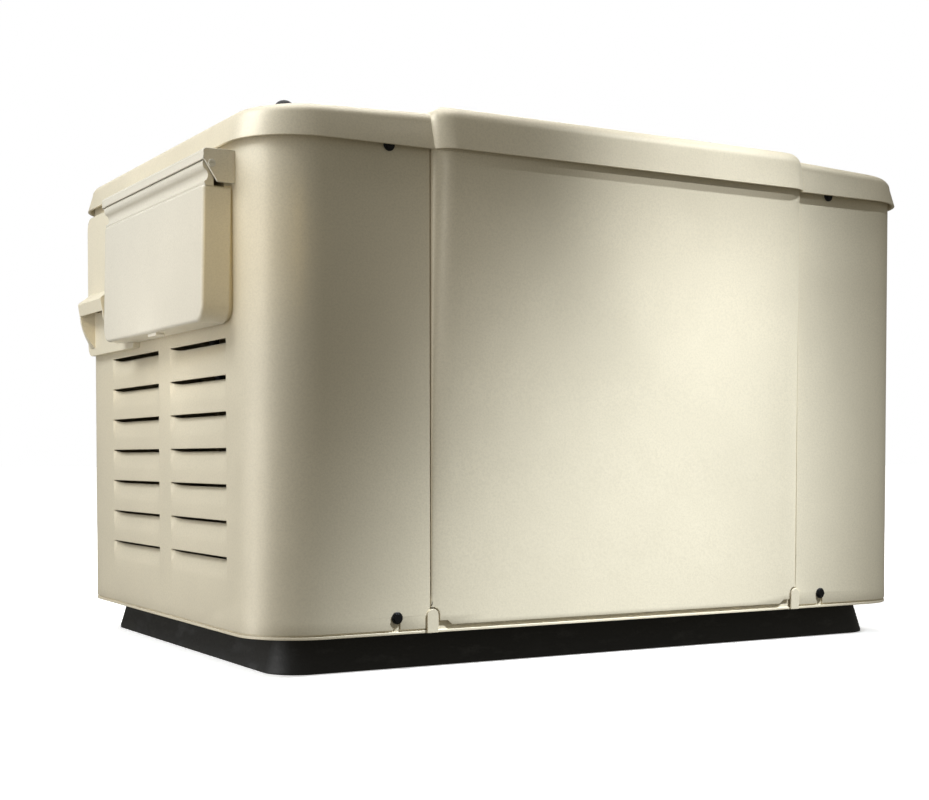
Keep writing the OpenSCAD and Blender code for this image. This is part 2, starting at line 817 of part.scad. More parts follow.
module rubber_mounts() {
    color(black) for (x = mount_x, s = [-1, 1]) translate([x, shaft_y + s * rail_y, floor_z])
        rotate_extrude() polygon([[4, 0], [22, 0], [22, 6], [18, 10], [18, 16], [22, 20],
            [22, rail_z0 - floor_z], [4, rail_z0 - floor_z]]);
}

module engine_cradle() {
    wall = 3;
    color("#3a3d40") difference() {
        union() {
            for (s = [-1, 1]) difference() {
                block([rail_x0, shaft_y + s * rail_y - 18, rail_z0],
                    [rail_x1, shaft_y + s * rail_y + 18, rail_z1]);
                block([rail_x0 - 1, shaft_y + s * rail_y - 18 + wall, rail_z0 + wall],
                    [rail_x1 + 1, shaft_y + s * rail_y + 18 - wall, rail_z1 - wall]);
            }
            for (x = mount_x) block([x - 20, shaft_y - rail_y + 18, rail_z0 + 2],
                [x + 20, shaft_y + rail_y - 18, rail_z0 + 8]);
        }
        for (x = mount_x, s = [-1, 1])
            bar_z([x, shaft_y + s * rail_y, rail_z0 - 1], 4, rail_z1 - rail_z0 + 2);
    }
}

module crankcase() {
    wall = 10;
    a = [case_x0, shaft_y - case_half];
    b = [case_x1, shaft_y + case_half];
    color(cast) difference() {
        union() {
            translate([0, 0, case_z0]) linear_extrude(case_z1 - case_z0) rounded_box(a, b, 16);
            for (s = [-1, 1]) block([-30, shaft_y + s * rail_y - 24, rail_z1],
                [110, shaft_y + s * rail_y + 24, case_z0 + 6]);
            bar_x([case_x0 - 15, shaft_y, shaft_z], 30, 16);
            for (z = [140 : 30 : 260])
                block([case_x0 + 80, a.y - 4, z], [case_x1 - 20, a.y + 1, z + 5]);
        }
        translate([0, 0, case_z0 + wall]) linear_extrude(case_z1 - case_z0 - 2 * wall)
            rounded_box(a + [wall, wall], b - [wall, wall], 8);
        bar_x([case_x0 - 30, shaft_y, shaft_z], shaft_r + 0.05, case_x1 - case_x0 + 60);
        bar_z([cyl_x, shaft_y, case_z1 - 30], bore_r + 4, 60);
    }
}

module cylinder_barrel() {
    color(cast) difference() {
        union() {
            bar_z([cyl_x, shaft_y, case_z1], bore_r + 9, barrel_top - case_z1);
            for (i = [0 : 7]) translate([cyl_x, shaft_y, case_z1 + 8 + 11 * i])
                linear_extrude(3) rounded(130, 130, 18);
            translate([cyl_x, shaft_y, case_z1]) linear_extrude(6) rounded(124, 124, 10);
        }
        bar_z([cyl_x, shaft_y, case_z1 - 1], bore_r, barrel_top - case_z1 + 2);
    }
}

module piston() {
    r = bore_r - 0.1;
    top = barrel_top - 1;
    color("#c9cbcc") difference() {
        bar_z([cyl_x, shaft_y, top - 52], r, 52);
        bar_z([cyl_x, shaft_y, top - 53], r - 5, 45);
        for (z = [top - 8, top - 14, top - 20]) translate([cyl_x, shaft_y, z]) difference() {
            cylinder(r = r + 1, h = 2);
            translate([0, 0, -1]) cylinder(r = r - 2, h = 4);
        }
    }
    color(steel) bar_y([cyl_x, shaft_y - r + 3, top - 30], 9, 2 * r - 6);
}

module cylinder_head() {
    color(cast) difference() {
        union() {
            translate([cyl_x, shaft_y, barrel_top]) linear_extrude(head_top - barrel_top)
                rounded(96, 104, 12);
            for (i = [0 : 3]) translate([cyl_x, shaft_y, barrel_top + 6 + 12 * i])
                linear_extrude(3) rounded(124, 132, 16);
            bar_x([cyl_x - 62, shaft_y, port_z], 20, 124);
            bar_y([cyl_x, shaft_y - 66, port_z], 15, 20);
        }
        bar_z([cyl_x, shaft_y, barrel_top - 1], bore_r - 4, 15);
        bar_x([cyl_x - 63, shaft_y, port_z], 13, 40);
        bar_x([cyl_x + 23, shaft_y, port_z], 13, 40);
        bar_y([cyl_x, shaft_y - 67, port_z], 7, 40);
    }
}

module rocker_cover() {
    color(cast) difference() {
        union() {
            translate([cyl_x, shaft_y, head_top]) linear_extrude(8) rounded(110, 118, 14);
            translate([cyl_x, shaft_y, head_top + 8]) linear_extrude(34) rounded(92, 100, 18);
            for (x = [-24, 0, 24]) translate([cyl_x + x, shaft_y, head_top + 42])
                linear_extrude(3) rounded(8, 70, 3);
        }
        translate([cyl_x, shaft_y, head_top - 1]) linear_extrude(38) rounded(84, 92, 14);
    }
}

module spark_plug() {
    y = shaft_y - 66;
    color(steel) {
        bar_y([cyl_x, y, port_z], 6.9, 30);
        translate([cyl_x, y, port_z]) rotate([90, 0, 0]) cylinder(r = 11, h = 9, $fn = 6);
    }
    color("#efeee8") bar_y([cyl_x, y - 34, port_z], 5.5, 26);
    color(steel) bar_y([cyl_x, y - 41, port_z], 3, 8);
}

filter_a = [-262, -62];
filter_b = [-92, 102];

module air_filter_box() {
    color(black) difference() {
        union() {
            translate([0, 0, 376]) linear_extrude(60) rounded_box(filter_a, filter_b, 18);
            translate([0, 0, 436]) linear_extrude(6)
                rounded_box(filter_a - [5, 5], filter_b + [-2, 5], 18);
            translate([0, 0, 442]) linear_extrude(34) rounded_box(filter_a, filter_b, 18);
            for (x = [-230, -124]) block([x, shaft_y - 30, 330], [x + 12, shaft_y + 30, 377]);
        }
        bar_x([-110, shaft_y, port_z - 8], 14, 30);
        bar_x([case_x0 - 250, shaft_y, shaft_z], can_r, 240);
    }
}

module fuel_mixer() {
    color(cast) difference() {
        union() {
            bar_x([-92, shaft_y, port_z], 23, 34);
            bar_x([-58, shaft_y, port_z], 19, 36);
            bar_x([-30, shaft_y, port_z], 27, 8);
            block([-84, shaft_y - 30, port_z - 14], [-64, shaft_y + 6, port_z + 14]);
            bar_y([gas_x, shaft_y, port_z], 11, 30);
        }
        bar_x([-93, shaft_y, port_z], 13, 80);
        bar_y([gas_x, shaft_y, port_z], 6, 31);
    }
}

regulator_y = 240;
regulator_z = 328;
regulator_r = 57;
bend_r = 20;

// Quarter bend of a pipe: centre line from (0, bend_r) down to (-bend_r, 0) in the Y-Z plane
module quarter_bend(r) {
    rotate([90, 0, 90]) rotate_extrude(angle = 90) translate([bend_r, 0]) circle(r, $fn = 32);
}

module fuel_hose() {
    top = port_z - bend_r;
    y0 = shaft_y + 30;
    color(black) {
        bar_z([gas_x, regulator_y, regulator_z + regulator_r + 8], 9, top - regulator_z - regulator_r - 8);
        translate([gas_x, regulator_y - bend_r, top]) quarter_bend(9);
        bar_y([gas_x, y0, port_z], 9, regulator_y - bend_r - y0);
    }
}

module gas_regulator() {
    color("#8f9396") {
        bar_y([gas_x, regulator_y - 24, regulator_z], regulator_r - 6, 20);
        bar_y([gas_x, regulator_y - 4, regulator_z], regulator_r, 8);
        bar_y([gas_x, regulator_y + 4, regulator_z], regulator_r - 4, 18);
        for (i = [0 : 7]) translate([gas_x, regulator_y, regulator_z])
            rotate([0, 45 * i + 22.5, 0]) bar_y([regulator_r - 7, -7, 0], 4, 14);
        bar_z([gas_x, regulator_y, regulator_z + regulator_r - 4], 11, 12);
        bar_z([gas_x, regulator_y, regulator_z - regulator_r - 6], 13, 12);
    }
    color(black) translate([gas_x + 52, regulator_y - 12, regulator_z - 14]) cube([34, 26, 28]);
}

// Threaded inlet socket at the rear, and the pipe up to the regulator
module gas_inlet_pipe() {
    pipe_r = 10;
    y0 = face_y - 30;
    turn_z = entry_z + bend_r;
    color("#b8923e") difference() {
        union() {
            bar_y([gas_x, y0, entry_z], 16.5, 40);
            translate([gas_x, y0 - 0.01, entry_z]) rotate([-90, 0, 0]) cylinder(r = 21, h = 14, $fn = 6);
        }
        bar_y([gas_x, y0 + 15, entry_z], 12.1, 30);
    }
    color(steel) {
        bar_y([gas_x, regulator_y + bend_r, entry_z], pipe_r, y0 - regulator_y - bend_r);
        translate([gas_x, regulator_y + bend_r, turn_z]) rotate([180, 0, 0]) quarter_bend(pipe_r);
        bar_z([gas_x, regulator_y, turn_z], pipe_r, regulator_z - regulator_r - 6 - turn_z);
    }
}

module conduit_bushing() {
    color(steel) difference() {
        union() {
            bar_y([conduit_x, face_y - 14, entry_z], 17.5, 24);
            bar_y([conduit_x, face_y - sheet - 5, entry_z], 23, 5);
            bar_y([conduit_x, face_y, entry_z], 23, 5);
        }
        bar_y([conduit_x, face_y - 15, entry_z], 13.7, 26);
    }
}

muffler_x = 370;
muffler_y0 = -150;
muffler_y1 = 190;
partition_x = 262;

module muffler() {
    pipe = 16.3;
    color("#8d8a84") difference() {
        union() {
            bar_y([muffler_x, muffler_y0, port_z], muffler_r, muffler_y1 - muffler_y0);
            for (y = [muffler_y0, muffler_y1 - 8])
                bar_y([muffler_x, y, port_z], muffler_r + 2.5, 8);
        }
        bar_y([muffler_x, muffler_y0 + 3, port_z], muffler_r - 2, muffler_y1 - muffler_y0 - 6);
        bar_x([muffler_x - 80, shaft_y, port_z], pipe, 40);
        bar_x([muffler_x + 40, exhaust_y, port_z], pipe, 40);
    }
    color(steel) for (y = [-90, 155]) {
        difference() {
            bar_y([muffler_x, y, port_z], muffler_r + 2, 20);
            bar_y([muffler_x, y - 1, port_z], muffler_r, 22);
        }
        block([partition_x + 1.5, y, port_z - 4], [muffler_x - muffler_r - 1, y + 20, port_z + 4]);
    }
}

module exhaust_pipe() {
    color("#8a7f74") {
        difference() {
            bar_x([cyl_x + 62, shaft_y, port_z], 16, muffler_x - muffler_r - cyl_x - 62 + 12);
            bar_x([cyl_x + 61, shaft_y, port_z], 14, muffler_x - muffler_r - cyl_x - 62 + 20);
        }
        difference() {
            bar_x([cyl_x + 62, shaft_y, port_z], 28, 7);
            bar_x([cyl_x + 61, shaft_y, port_z], 14, 9);
        }
        difference() {
            bar_x([muffler_x + muffler_r - 12, exhaust_y, port_z], 16, 50);
            bar_x([muffler_x + muffler_r - 13, exhaust_y, port_z], 14, 52);
        }
    }
}

module partition_wall() {
    half = face_y - 8;
    color("#b9bcbd") difference() {
        block([partition_x, -half, floor_z], [partition_x + 1.5, half, 568]);
        bar_x([partition_x - 1, shaft_y, port_z], 22, 4);
    }
}

web_r = 58;
web_t = 14;

module crankshaft() {
    color("#85888b") {
        bar_x([-334, shaft_y, shaft_z], shaft_r, 334 + 26);
        bar_x([54, shaft_y, shaft_z], shaft_r, 140);
        for (x = [cyl_x - 14 - web_t, cyl_x + 14]) bar_x([x, shaft_y, shaft_z], web_r, web_t);
        bar_x([cyl_x - 14, shaft_y, shaft_z + crank_r], 17, 28);
        translate([194, shaft_y, shaft_z]) rotate([0, 90, 0]) cylinder(r = 16, h = 9, $fn = 6);
    }
}

rotor_x0 = -262;
rotor_len = 120;

module rotor() {
    color("#74604a") difference() {
        bar_x([rotor_x0, shaft_y, shaft_z], rotor_r, rotor_len);
        bar_x([rotor_x0 - 1, shaft_y, shaft_z], shaft_r, rotor_len + 2);
        for (a = [0 : 15 : 345]) translate([0, shaft_y, shaft_z]) rotate([a, 0, 0])
            block([rotor_x0 - 1, -1.5, rotor_r - 9], [rotor_x0 + rotor_len + 1, 1.5, rotor_r + 1]);
    }
    color(cast) translate([0, shaft_y, shaft_z]) {
        difference() {
            bar_x([rotor_x0 + rotor_len + 18, 0, 0], 100, 4);
            bar_x([rotor_x0 + rotor_len + 17, 0, 0], shaft_r, 6);
        }
        for (a = [0 : 30 : 330]) rotate([a, 0, 0])
            block([rotor_x0 + rotor_len + 21, -1.5, 50], [rotor_x0 + rotor_len + 42, 1.5, 99]);
    }
}

flywheel_x = 160;

module flywheel() {
    r = 104;
    color(cast) translate([0, shaft_y, shaft_z]) {
        difference() {
            union() {
                bar_x([flywheel_x, 0, 0], r, 16);
                bar_x([flywheel_x - 8, 0, 0], 34, 34);
            }
            bar_x([flywheel_x - 9, 0, 0], shaft_r, 60);
        }
        for (a = [0 : 24 : 336]) rotate([a, 0, 0])
            block([flywheel_x + 15, -1.8, 58], [flywheel_x + 44, 1.8, 101]);
    }
    color(steel) translate([flywheel_x, shaft_y, shaft_z]) rotate([0, 90, 0]) linear_extrude(9)
        difference() {
            union() {
                circle(r + 5);
                for (i = [0 : 59]) rotate(6 * i) translate([r + 6.5, 0]) square([5, 5], center = true);
            }
            circle(r);
        }
}

module stator() {
    inner = rotor_r + 1;
    outer = can_r - 3;
    color("#6c6f72") difference() {
        bar_x([rotor_x0, shaft_y, shaft_z], outer, rotor_len);
        bar_x([rotor_x0 - 1, shaft_y, shaft_z], inner, rotor_len + 2);
    }
    color("#b5743a") for (x = [rotor_x0 - 16, rotor_x0 + rotor_len]) difference() {
        bar_x([x, shaft_y, shaft_z], outer - 4, 16);
        bar_x([x - 1, shaft_y, shaft_z], inner + 4, 18);
    }
}

module alternator_can() {
    x0 = -300;
    x1 = case_x0;
    color("#55585b") difference() {
        union() {
            bar_x([x0, shaft_y, shaft_z], can_r, x1 - x0);
            for (s = [-1, 1]) block([-270, shaft_y + s * 100 - 22, rail_z1],
                [-200, shaft_y + s * 100 + 22, shaft_z - 60]);
        }
        bar_x([x0 - 1, shaft_y, shaft_z], can_r - 3, x1 - x0 - 7);
        bar_x([x0 - 1, shaft_y, shaft_z], 62, x1 - x0 + 9);
        for (a = [-50 : 20 : 50]) translate([0, shaft_y, shaft_z]) rotate([a, 0, 0])
            block([-116, -9, 95], [-94, 9, 130]);
    }
}

module alternator_end_bell() {
    x0 = -330;
    color(cast) difference() {
        union() {
            bar_x([-308, shaft_y, shaft_z], can_r, 8);
            bar_x([x0, shaft_y, shaft_z], 44, 26);
            for (a = [0 : 60 : 300]) translate([0, shaft_y, shaft_z]) rotate([a, 0, 0])
                block([-318, -5, 30], [-307, 5, can_r - 6]);
        }
        bar_x([x0 + 4, shaft_y, shaft_z], 31, 30);
        bar_x([x0 - 5, shaft_y, shaft_z], 25, 30);
        for (a = [0 : 60 : 300]) translate([0, shaft_y, shaft_z]) rotate([a + 30, 0, 0])
            for (z = [56, 74, 92]) block([-320, -0.2 * z, z], [-299, 0.2 * z, z + 9]);
    }
}

module shaft_bearing() {
    x0 = -326;
    color(steel) translate([0, shaft_y, shaft_z]) difference() {
        bar_x([x0, 0, 0], 31, 18);
        bar_x([x0 - 1, 0, 0], shaft_r + 0.05, 20);
        for (x = [x0 - 1, x0 + 17]) difference() {
            bar_x([x, 0, 0], 27, 2);
            bar_x([x - 1, 0, 0], 21.5, 4);
        }
    }
}

module blower_housing() {
    x0 = case_x1;
    x1 = 224;
    r = 121;
    color("#2e3032") difference() {
        union() {
            bar_x([x0, shaft_y, shaft_z], r, x1 - x0);
            block([x0, shaft_y - 70, shaft_z + 60], [x1 - 6, shaft_y + 70, 352]);
        }
        bar_x([x0 - 1, shaft_y, shaft_z], r - 3, x1 - x0 - 2);
        bar_x([x0, shaft_y, shaft_z], 72, x1 - x0 + 9);
        block([x0 - 1, shaft_y - 67, shaft_z + 60], [x1 - 9, shaft_y + 67, 349]);
    }
    color(steel) for (i = [0 : 6]) translate([x1 - 3, shaft_y, shaft_z])
        difference() {
            rotate([0, 90, 0]) cylinder(r = 12 + 10 * i, h = 2);
            translate([-1, 0, 0]) rotate([0, 90, 0]) cylinder(r = 9.6 + 10 * i, h = 4);
        }
    color(steel) for (a = [0, 60, 120]) translate([x1 - 1.2, shaft_y, shaft_z]) rotate([a, 0, 0])
        block([0, -73, -1.5], [1.6, 73, 1.5]);
}

starter_y = -126;

module starter_motor() {
    color("#2b2c2e") {
        bar_x([12, starter_y, shaft_z], 31, 112);
        bar_x([6, starter_y, shaft_z], 28, 8);
        bar_x([20, starter_y, shaft_z + 48], 17, 92);
    }
    color(cast) {
        difference() {
            bar_x([124, starter_y, shaft_z], 34, 16);
            bar_x([134, starter_y, shaft_z], 24, 7);
        }
        block([124, starter_y + 20, shaft_z - 22], [136, shaft_y - case_half, shaft_z + 22]);
        block([108, starter_y - 12, shaft_z + 24], [124, starter_y + 12, shaft_z + 40]);
    }
    color(steel) bar_x([134, starter_y, shaft_z], 11, 16);
}

filter_z = 152;

module oil_filter() {
    y1 = shaft_y - case_half - 4;
    color("#e0e0dd") difference() {
        union() {
            bar_y([-22, y1 - 70, filter_z], 33, 66);
            bar_y([-22, y1 - 78, filter_z], 27, 9);
        }
        for (i = [0 : 11]) translate([-22, y1 - 79, filter_z]) rotate([0, 30 * i, 0])
            block([31.5, -1, -2], [36, 18, 2]);
    }
    color(cast) bar_y([-22, y1 - 4, filter_z], 30, 8);
}

module dipstick() {
    x = -44;
    y = shaft_y - case_half - 12;
    color(steel) {
        bar_z([x, y, 200], 6.5, 120);
        block([x - 5, y, 202], [x + 5, y + 12, 212]);
    }
    color("#e4b62a") {
        bar_z([x, y, 320], 11, 10);
        difference() {
            bar_y([x, y - 3, 338], 13, 6);
            bar_y([x, y - 4, 341], 7, 8);
        }
    }
}

module engine_bolts() {
    color(steel) {
        for (x = [-47, 47], y = [-51, 51])
            translate([cyl_x + x, shaft_y + y, head_top + 8]) cylinder(r = 6, h = 6, $fn = 6);
        for (x = [24, 100], s = [-1, 1]) translate([x, shaft_y + s * (rail_y + 8), case_z0 + 6])
            cylinder(r = 8, h = 7, $fn = 6);
        for (a = [45 : 90 : 315]) translate([-308, shaft_y, shaft_z]) rotate([a, 0, 0])
            translate([0, 0, can_r - 8]) rotate([0, -90, 0]) cylinder(r = 6, h = 6, $fn = 6);
    }
}

// ---- assembly -------------------------------------------------------------------------

base_pad();
base_pan();
left_end_wrap();
right_end_wrap();
front_panel();
rear_panel();
roof();
roof_plugs();
frame_hinge_leaves();
roof_hinge_leaves();
hinge_pins();
wrap_bolts();
control_bezel();
door_hood();
control_door();
door_pivot_screws();
controller_housing();
circuit_board();
display_window();
status_lights();
key_auto();
key_off();
key_manual();
key_menu();
key_enter();
main_breaker();
breaker_toggle();
fuse_holder();
battery_tray();
battery();
battery_strap();
rubber_mounts();
engine_cradle();
crankcase();
cylinder_barrel();
piston();
cylinder_head();
rocker_cover();
spark_plug();
air_filter_box();
fuel_mixer();
fuel_hose();
gas_regulator();
gas_inlet_pipe();
muffler();
exhaust_pipe();
partition_wall();
crankshaft();
rotor();
flywheel();
stator();
alternator_can();
alternator_end_bell();
shaft_bearing();
blower_housing();
starter_motor();
oil_filter();
dipstick();
conduit_bushing();
engine_bolts();
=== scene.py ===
# Looks of the home standby generator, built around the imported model. The meshes are worked out in
# millimetres, and made in metres.
import json
import math

import bmesh
import bpy
from mathutils import Matrix, Vector


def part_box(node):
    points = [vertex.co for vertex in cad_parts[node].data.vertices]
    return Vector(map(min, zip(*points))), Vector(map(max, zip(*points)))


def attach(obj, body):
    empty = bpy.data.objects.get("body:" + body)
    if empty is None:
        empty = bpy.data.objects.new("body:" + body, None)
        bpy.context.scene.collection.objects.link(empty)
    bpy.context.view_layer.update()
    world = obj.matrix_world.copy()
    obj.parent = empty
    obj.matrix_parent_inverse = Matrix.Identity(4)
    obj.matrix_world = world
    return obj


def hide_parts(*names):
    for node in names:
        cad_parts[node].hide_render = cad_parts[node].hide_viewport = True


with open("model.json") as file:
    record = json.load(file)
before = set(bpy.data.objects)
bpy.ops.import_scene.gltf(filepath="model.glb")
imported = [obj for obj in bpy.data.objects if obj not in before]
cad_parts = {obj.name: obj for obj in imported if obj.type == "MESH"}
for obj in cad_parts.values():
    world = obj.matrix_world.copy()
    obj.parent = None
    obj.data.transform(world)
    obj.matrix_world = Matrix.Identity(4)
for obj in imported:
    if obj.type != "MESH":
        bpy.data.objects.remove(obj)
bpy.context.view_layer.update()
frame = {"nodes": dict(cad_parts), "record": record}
NODES = frame["nodes"]
SLOT_OF = {part["node"]: part["material_slot"] for part in frame["record"]["subparts"]}
MM = 0.001


# ---- camera, light and floor ----

WHITE = (1, 1, 1)
AMBIENT = (1, 0.965, 0.83)
CAMERA_PLACE = (-1.0652, -1.7845, 0.2339)
CAMERA_TILT, CAMERA_TURN = 88.18, -30
CAMERA_LENS, CAMERA_SENSOR = 58.3, 36
CAMERA_SHIFT = 0.115

# Name, place, target, radius, power, angle of the beam, colour.
SPOTS = [
    ("key", (1.05, -1.80, 2.69), (-0.052, -0.335, -0.165), 0.12, 1140, 17, (0.885, 0.945, 1)),
    ("lid_key", (-0.45, -2.30, 1.90), (0.100, -0.335, 0.535), 0.05, 112, 10.2, (0.95, 0.975, 1)),
    ("panel_fill", (-0.60, -2.40, 1.00), (-0.20, -0.335, 0.42), 0.05, 18, 10, WHITE),
    ("door_side", (-0.98, -1.90, 0.80), (-0.515, -0.215, 0.45), 0.05, 30, 8.5, (1, 0.76, 0.32)),
    ("door_under", (-0.98, -0.20, 0.03), (-0.49, -0.06, 0.335), 0.05, 2.5, 20, (1, 0.99, 0.96)),
]
# Name, place, target, size, power, colour.
PANELS = [
    ("left_box", (-1.5, 0.12, 1.45), (-0.45, -0.05, 0.45), (0.9, 0.7), 16, (0.94, 0.975, 1)),
    ("left_strip", (-1.75, -0.42, 0.65), (-0.45, -0.25, 0.35), (0.15, 1.3), 4, WHITE),
    ("uplight", (-1.3, 0, 0.06), (-0.48, -0.05, 0.45), (0.5, 0.9), 3, WHITE),
    ("top_box", (0, 0.3, 3), (0, 0, 0), (2.5, 2.5), 60, WHITE),
    ("back_box", (1.2, 2.6, 1.6), (0.1, 0, 0.3), (1.6, 1.6), 50, WHITE),
]


def add_object(name, data):
    obj = bpy.data.objects.new(name, data)
    bpy.context.scene.collection.objects.link(obj)
    return obj


def add_camera():
    data = bpy.data.cameras.new("camera")
    data.lens = CAMERA_LENS
    data.sensor_width = CAMERA_SENSOR
    data.shift_y = CAMERA_SHIFT
    data.clip_start = 0.01
    camera = add_object("camera", data)
    camera.location = CAMERA_PLACE
    camera.rotation_euler = (math.radians(CAMERA_TILT), 0, math.radians(CAMERA_TURN))
    bpy.context.scene.camera = camera


def add_light(data, place, target, power, colour):
    """Puts a light at one point, aimed at another."""
    data.energy = power
    data.color = colour
    light = add_object(data.name, data)
    light.location = place
    direction = Vector(target) - light.location
    light.rotation_euler = direction.to_track_quat("-Z", "Y").to_euler()


def add_lights():
    for name, place, target, radius, power, angle, colour in SPOTS:
        data = bpy.data.lights.new(name, "SPOT")
        data.shadow_soft_size = radius
        data.spot_size = math.radians(angle)
        data.spot_blend = 1
        add_light(data, place, target, power, colour)
    for name, place, target, size, power, colour in PANELS:
        data = bpy.data.lights.new(name, "AREA")
        data.shape = "RECTANGLE"
        data.size, data.size_y = size
        add_light(data, place, target, power, colour)


def add_world():
    """White behind the object, and a faint warm ambient light on it."""
    world = bpy.data.worlds.new("studio")
    bpy.context.scene.world = world
    world.use_nodes = True
    tree = world.node_tree
    path = tree.nodes.new("ShaderNodeLightPath")
    mix = tree.nodes.new("ShaderNodeMixShader")
    tree.links.new(path.outputs["Is Camera Ray"], mix.inputs["Fac"])
    seen, ambient = tree.nodes["Background"], tree.nodes.new("ShaderNodeBackground")
    for index, node, colour, strength in ((1, ambient, AMBIENT, 0.2), (2, seen, WHITE, 1)):
        node.inputs["Color"].default_value = (*colour, 1)
        node.inputs["Strength"].default_value = strength
        tree.links.new(node.outputs["Background"], mix.inputs[index])
    tree.links.new(mix.outputs["Shader"], tree.nodes["World Output"].inputs["Surface"])


def add_floor():
    """A pale floor whose painted glow whitens it away from the object; the floor casts no light on the
    object.
    """
    half = 40
    mesh = bpy.data.meshes.new("floor")
    corners = [(-half, -half, 0), (half, -half, 0), (half, half, 0), (-half, half, 0)]
    mesh.from_pydata(corners, [], [(0, 1, 2, 3)])
    floor = add_object("floor", mesh)
    s = Shader("floor", Base_Color=(0.86, 0.86, 0.86), Roughness=0.9, Emission_Color=WHITE)
    away = s.node("VectorMath", "Value", {0: s.coords}, operation="LENGTH")
    # Painted light: the floor's glow is 0.55 within 0.6 m of the middle and rises to full strength 2.2 m
    # off.
    s.set("Emission Strength", s.ramp(away, 0.55, 1, 0.6, 2.2))
    mesh.materials.append(s.material)
    floor.visible_diffuse = False
    floor.visible_glossy = False


# ---- materials ----

MATERIALS = {}


class Shader:
    """A Principled material, with short calls for the nodes that feed it."""

    def __init__(self, name, **values):
        self.material = bpy.data.materials.new(name)
        MATERIALS[name] = self.material
        self.material.use_nodes = True
        self.tree = self.material.node_tree
        self.principled = self.tree.nodes["Principled BSDF"]
        self.coords = self.tree.nodes.new("ShaderNodeTexCoord").outputs["Object"]
        self.normal = None
        for socket, value in values.items():
            self.set(socket.replace("_", " "), value)

    def feed(self, target, value):
        """Links a socket to an input, or sets the input's own value."""
        if isinstance(value, bpy.types.NodeSocket):
            self.tree.links.new(value, target)
        elif target.type == "RGBA":
            target.default_value = (*value, 1)
        else:
            target.default_value = value

    def set(self, socket, value):
        self.feed(self.principled.inputs[socket], value)

    def node(self, kind, output, inputs, **settings):
        """A new node with its inputs fed and its settings made; gives one of its outputs."""
        made = self.tree.nodes.new("ShaderNode" + kind)
        for setting, value in settings.items():
            setattr(made, setting, value)
        for socket, value in inputs.items():
            self.feed(made.inputs[socket], value)
        return made.outputs[output]

    def stretched(self, scale):
        return self.node("Mapping", "Vector", {"Scale": scale, "Vector": self.coords})

    def noise(self, size, detail=2, rough=0.5, vector=None):
        """Noise whose features are about size metres across."""
        return self.node("TexNoise", "Fac", {"Scale": 1 / size, "Detail": detail, "Roughness": rough,
                                             "Vector": vector or self.coords})

    def cells(self, size, output, feature="F1"):
        """Cells about size metres across."""
        return self.node("TexVoronoi", output, {"Scale": 1 / size, "Vector": self.coords}, feature=feature)

    def ramp(self, fac, low, high, start=0, end=1):
        """A number that runs from low to high as fac runs from start to end."""
        return self.node("MapRange", "Result", {"Value": fac, "From Min": start, "From Max": end,
                                                "To Min": low, "To Max": high})

    def blend(self, fac, first, second):
        """The colour first where fac is 0, and second where it is 1."""
        return self.node("Mix", 2, {"Factor": fac, 6: first, 7: second}, data_type="RGBA")

    def mix(self, fac, amount, start, end, first, second):
        """The colour first, with up to amount of second as fac runs from start to end."""
        return self.blend(self.ramp(fac, 0, amount, start, end), first, second)

    def colour(self, *mix):
        self.set("Base Color", self.mix(*mix))

    def roughness(self, fac, low, high, start=0.3, end=0.7):
        self.set("Roughness", self.ramp(fac, low, high, start, end))

    def bump(self, height, depth):
        """Adds relief of about depth metres; calls stack."""
        inputs = {"Distance": depth, "Height": height}
        if self.normal is not None:
            inputs["Normal"] = self.normal
        self.normal = self.node("Bump", "Normal", inputs)
        self.set("Normal", self.normal)


def shade(colour, factor):
    """A colour made lighter or darker."""
    return tuple(min(1, c * factor) for c in colour)


def powder_coat(name, colour, grain=0.0011, relief=0.00006, roughness=0.42, metallic=0, wear=1):
    """Textured powder coat: fine speckle, an orange-peel skin, and slow drifts of tone."""
    s = Shader(name, Metallic=metallic)
    speckle = s.noise(grain, 3, 0.6)
    flake = s.noise(grain * 2.2, 1)
    drift = s.noise(0.16, 3, 0.55)
    base = s.mix(drift, 1, 0.35, 0.65, shade(colour, 0.965), shade(colour, 1.02))
    tone = s.mix(speckle, 0.5, 0.42, 0.72, base, shade(colour, 0.86))
    s.colour(flake, 0.42, 0.40, 0.68, tone, shade(colour, 0.84))
    film = s.noise(0.03, 4, 0.6)
    s.roughness(film, roughness - 0.05 * wear, roughness + 0.07 * wear)
    s.bump(speckle, relief)
    s.bump(s.noise(grain * 4.5, 1), relief * 1.6)


def moulded_plastic(name, colour, roughness):
    """Spark-eroded mould grain, with a little scuffing."""
    s = Shader(name)
    grain = s.noise(0.0008, 2, 0.6)
    scuff = s.noise(0.045, 6, 0.65)
    s.colour(scuff, 0.5, 0.48, 0.78, colour, tuple(c * 0.8 + 0.03 for c in colour))
    s.roughness(scuff, roughness - 0.06, roughness + 0.12, 0.3, 0.75)
    s.bump(grain, 0.00003)


def cast_metal(name, colour):
    """Sand-cast skin: a grainy surface with darker, oily hollows."""
    s = Shader(name, Metallic=0.9)
    skin = s.noise(0.0022, 4, 0.65)
    stain = s.noise(0.05, 4, 0.6)
    tone = s.mix(skin, 1, 0.35, 0.68, shade(colour, 0.72), colour)
    s.colour(stain, 0.55, 0.5, 0.75, tone, shade(colour, 0.5))
    s.roughness(skin, 0.64, 0.42)
    s.bump(skin, 0.0002)


def machined_metal(name, colour, roughness=0.28, along=(1, 30, 30), metallic=1):
    """Turned or drawn metal: fine streaks along one axis."""
    s = Shader(name, Metallic=metallic)
    streak = s.noise(0.02, 5, 0.6, s.stretched(along))
    film = s.noise(0.03, 4, 0.6)
    s.colour(film, 0.7, 0.45, 0.8, colour, shade(colour, 0.62))
    s.roughness(streak, roughness - 0.08, roughness + 0.16)
    s.bump(streak, 0.00003)


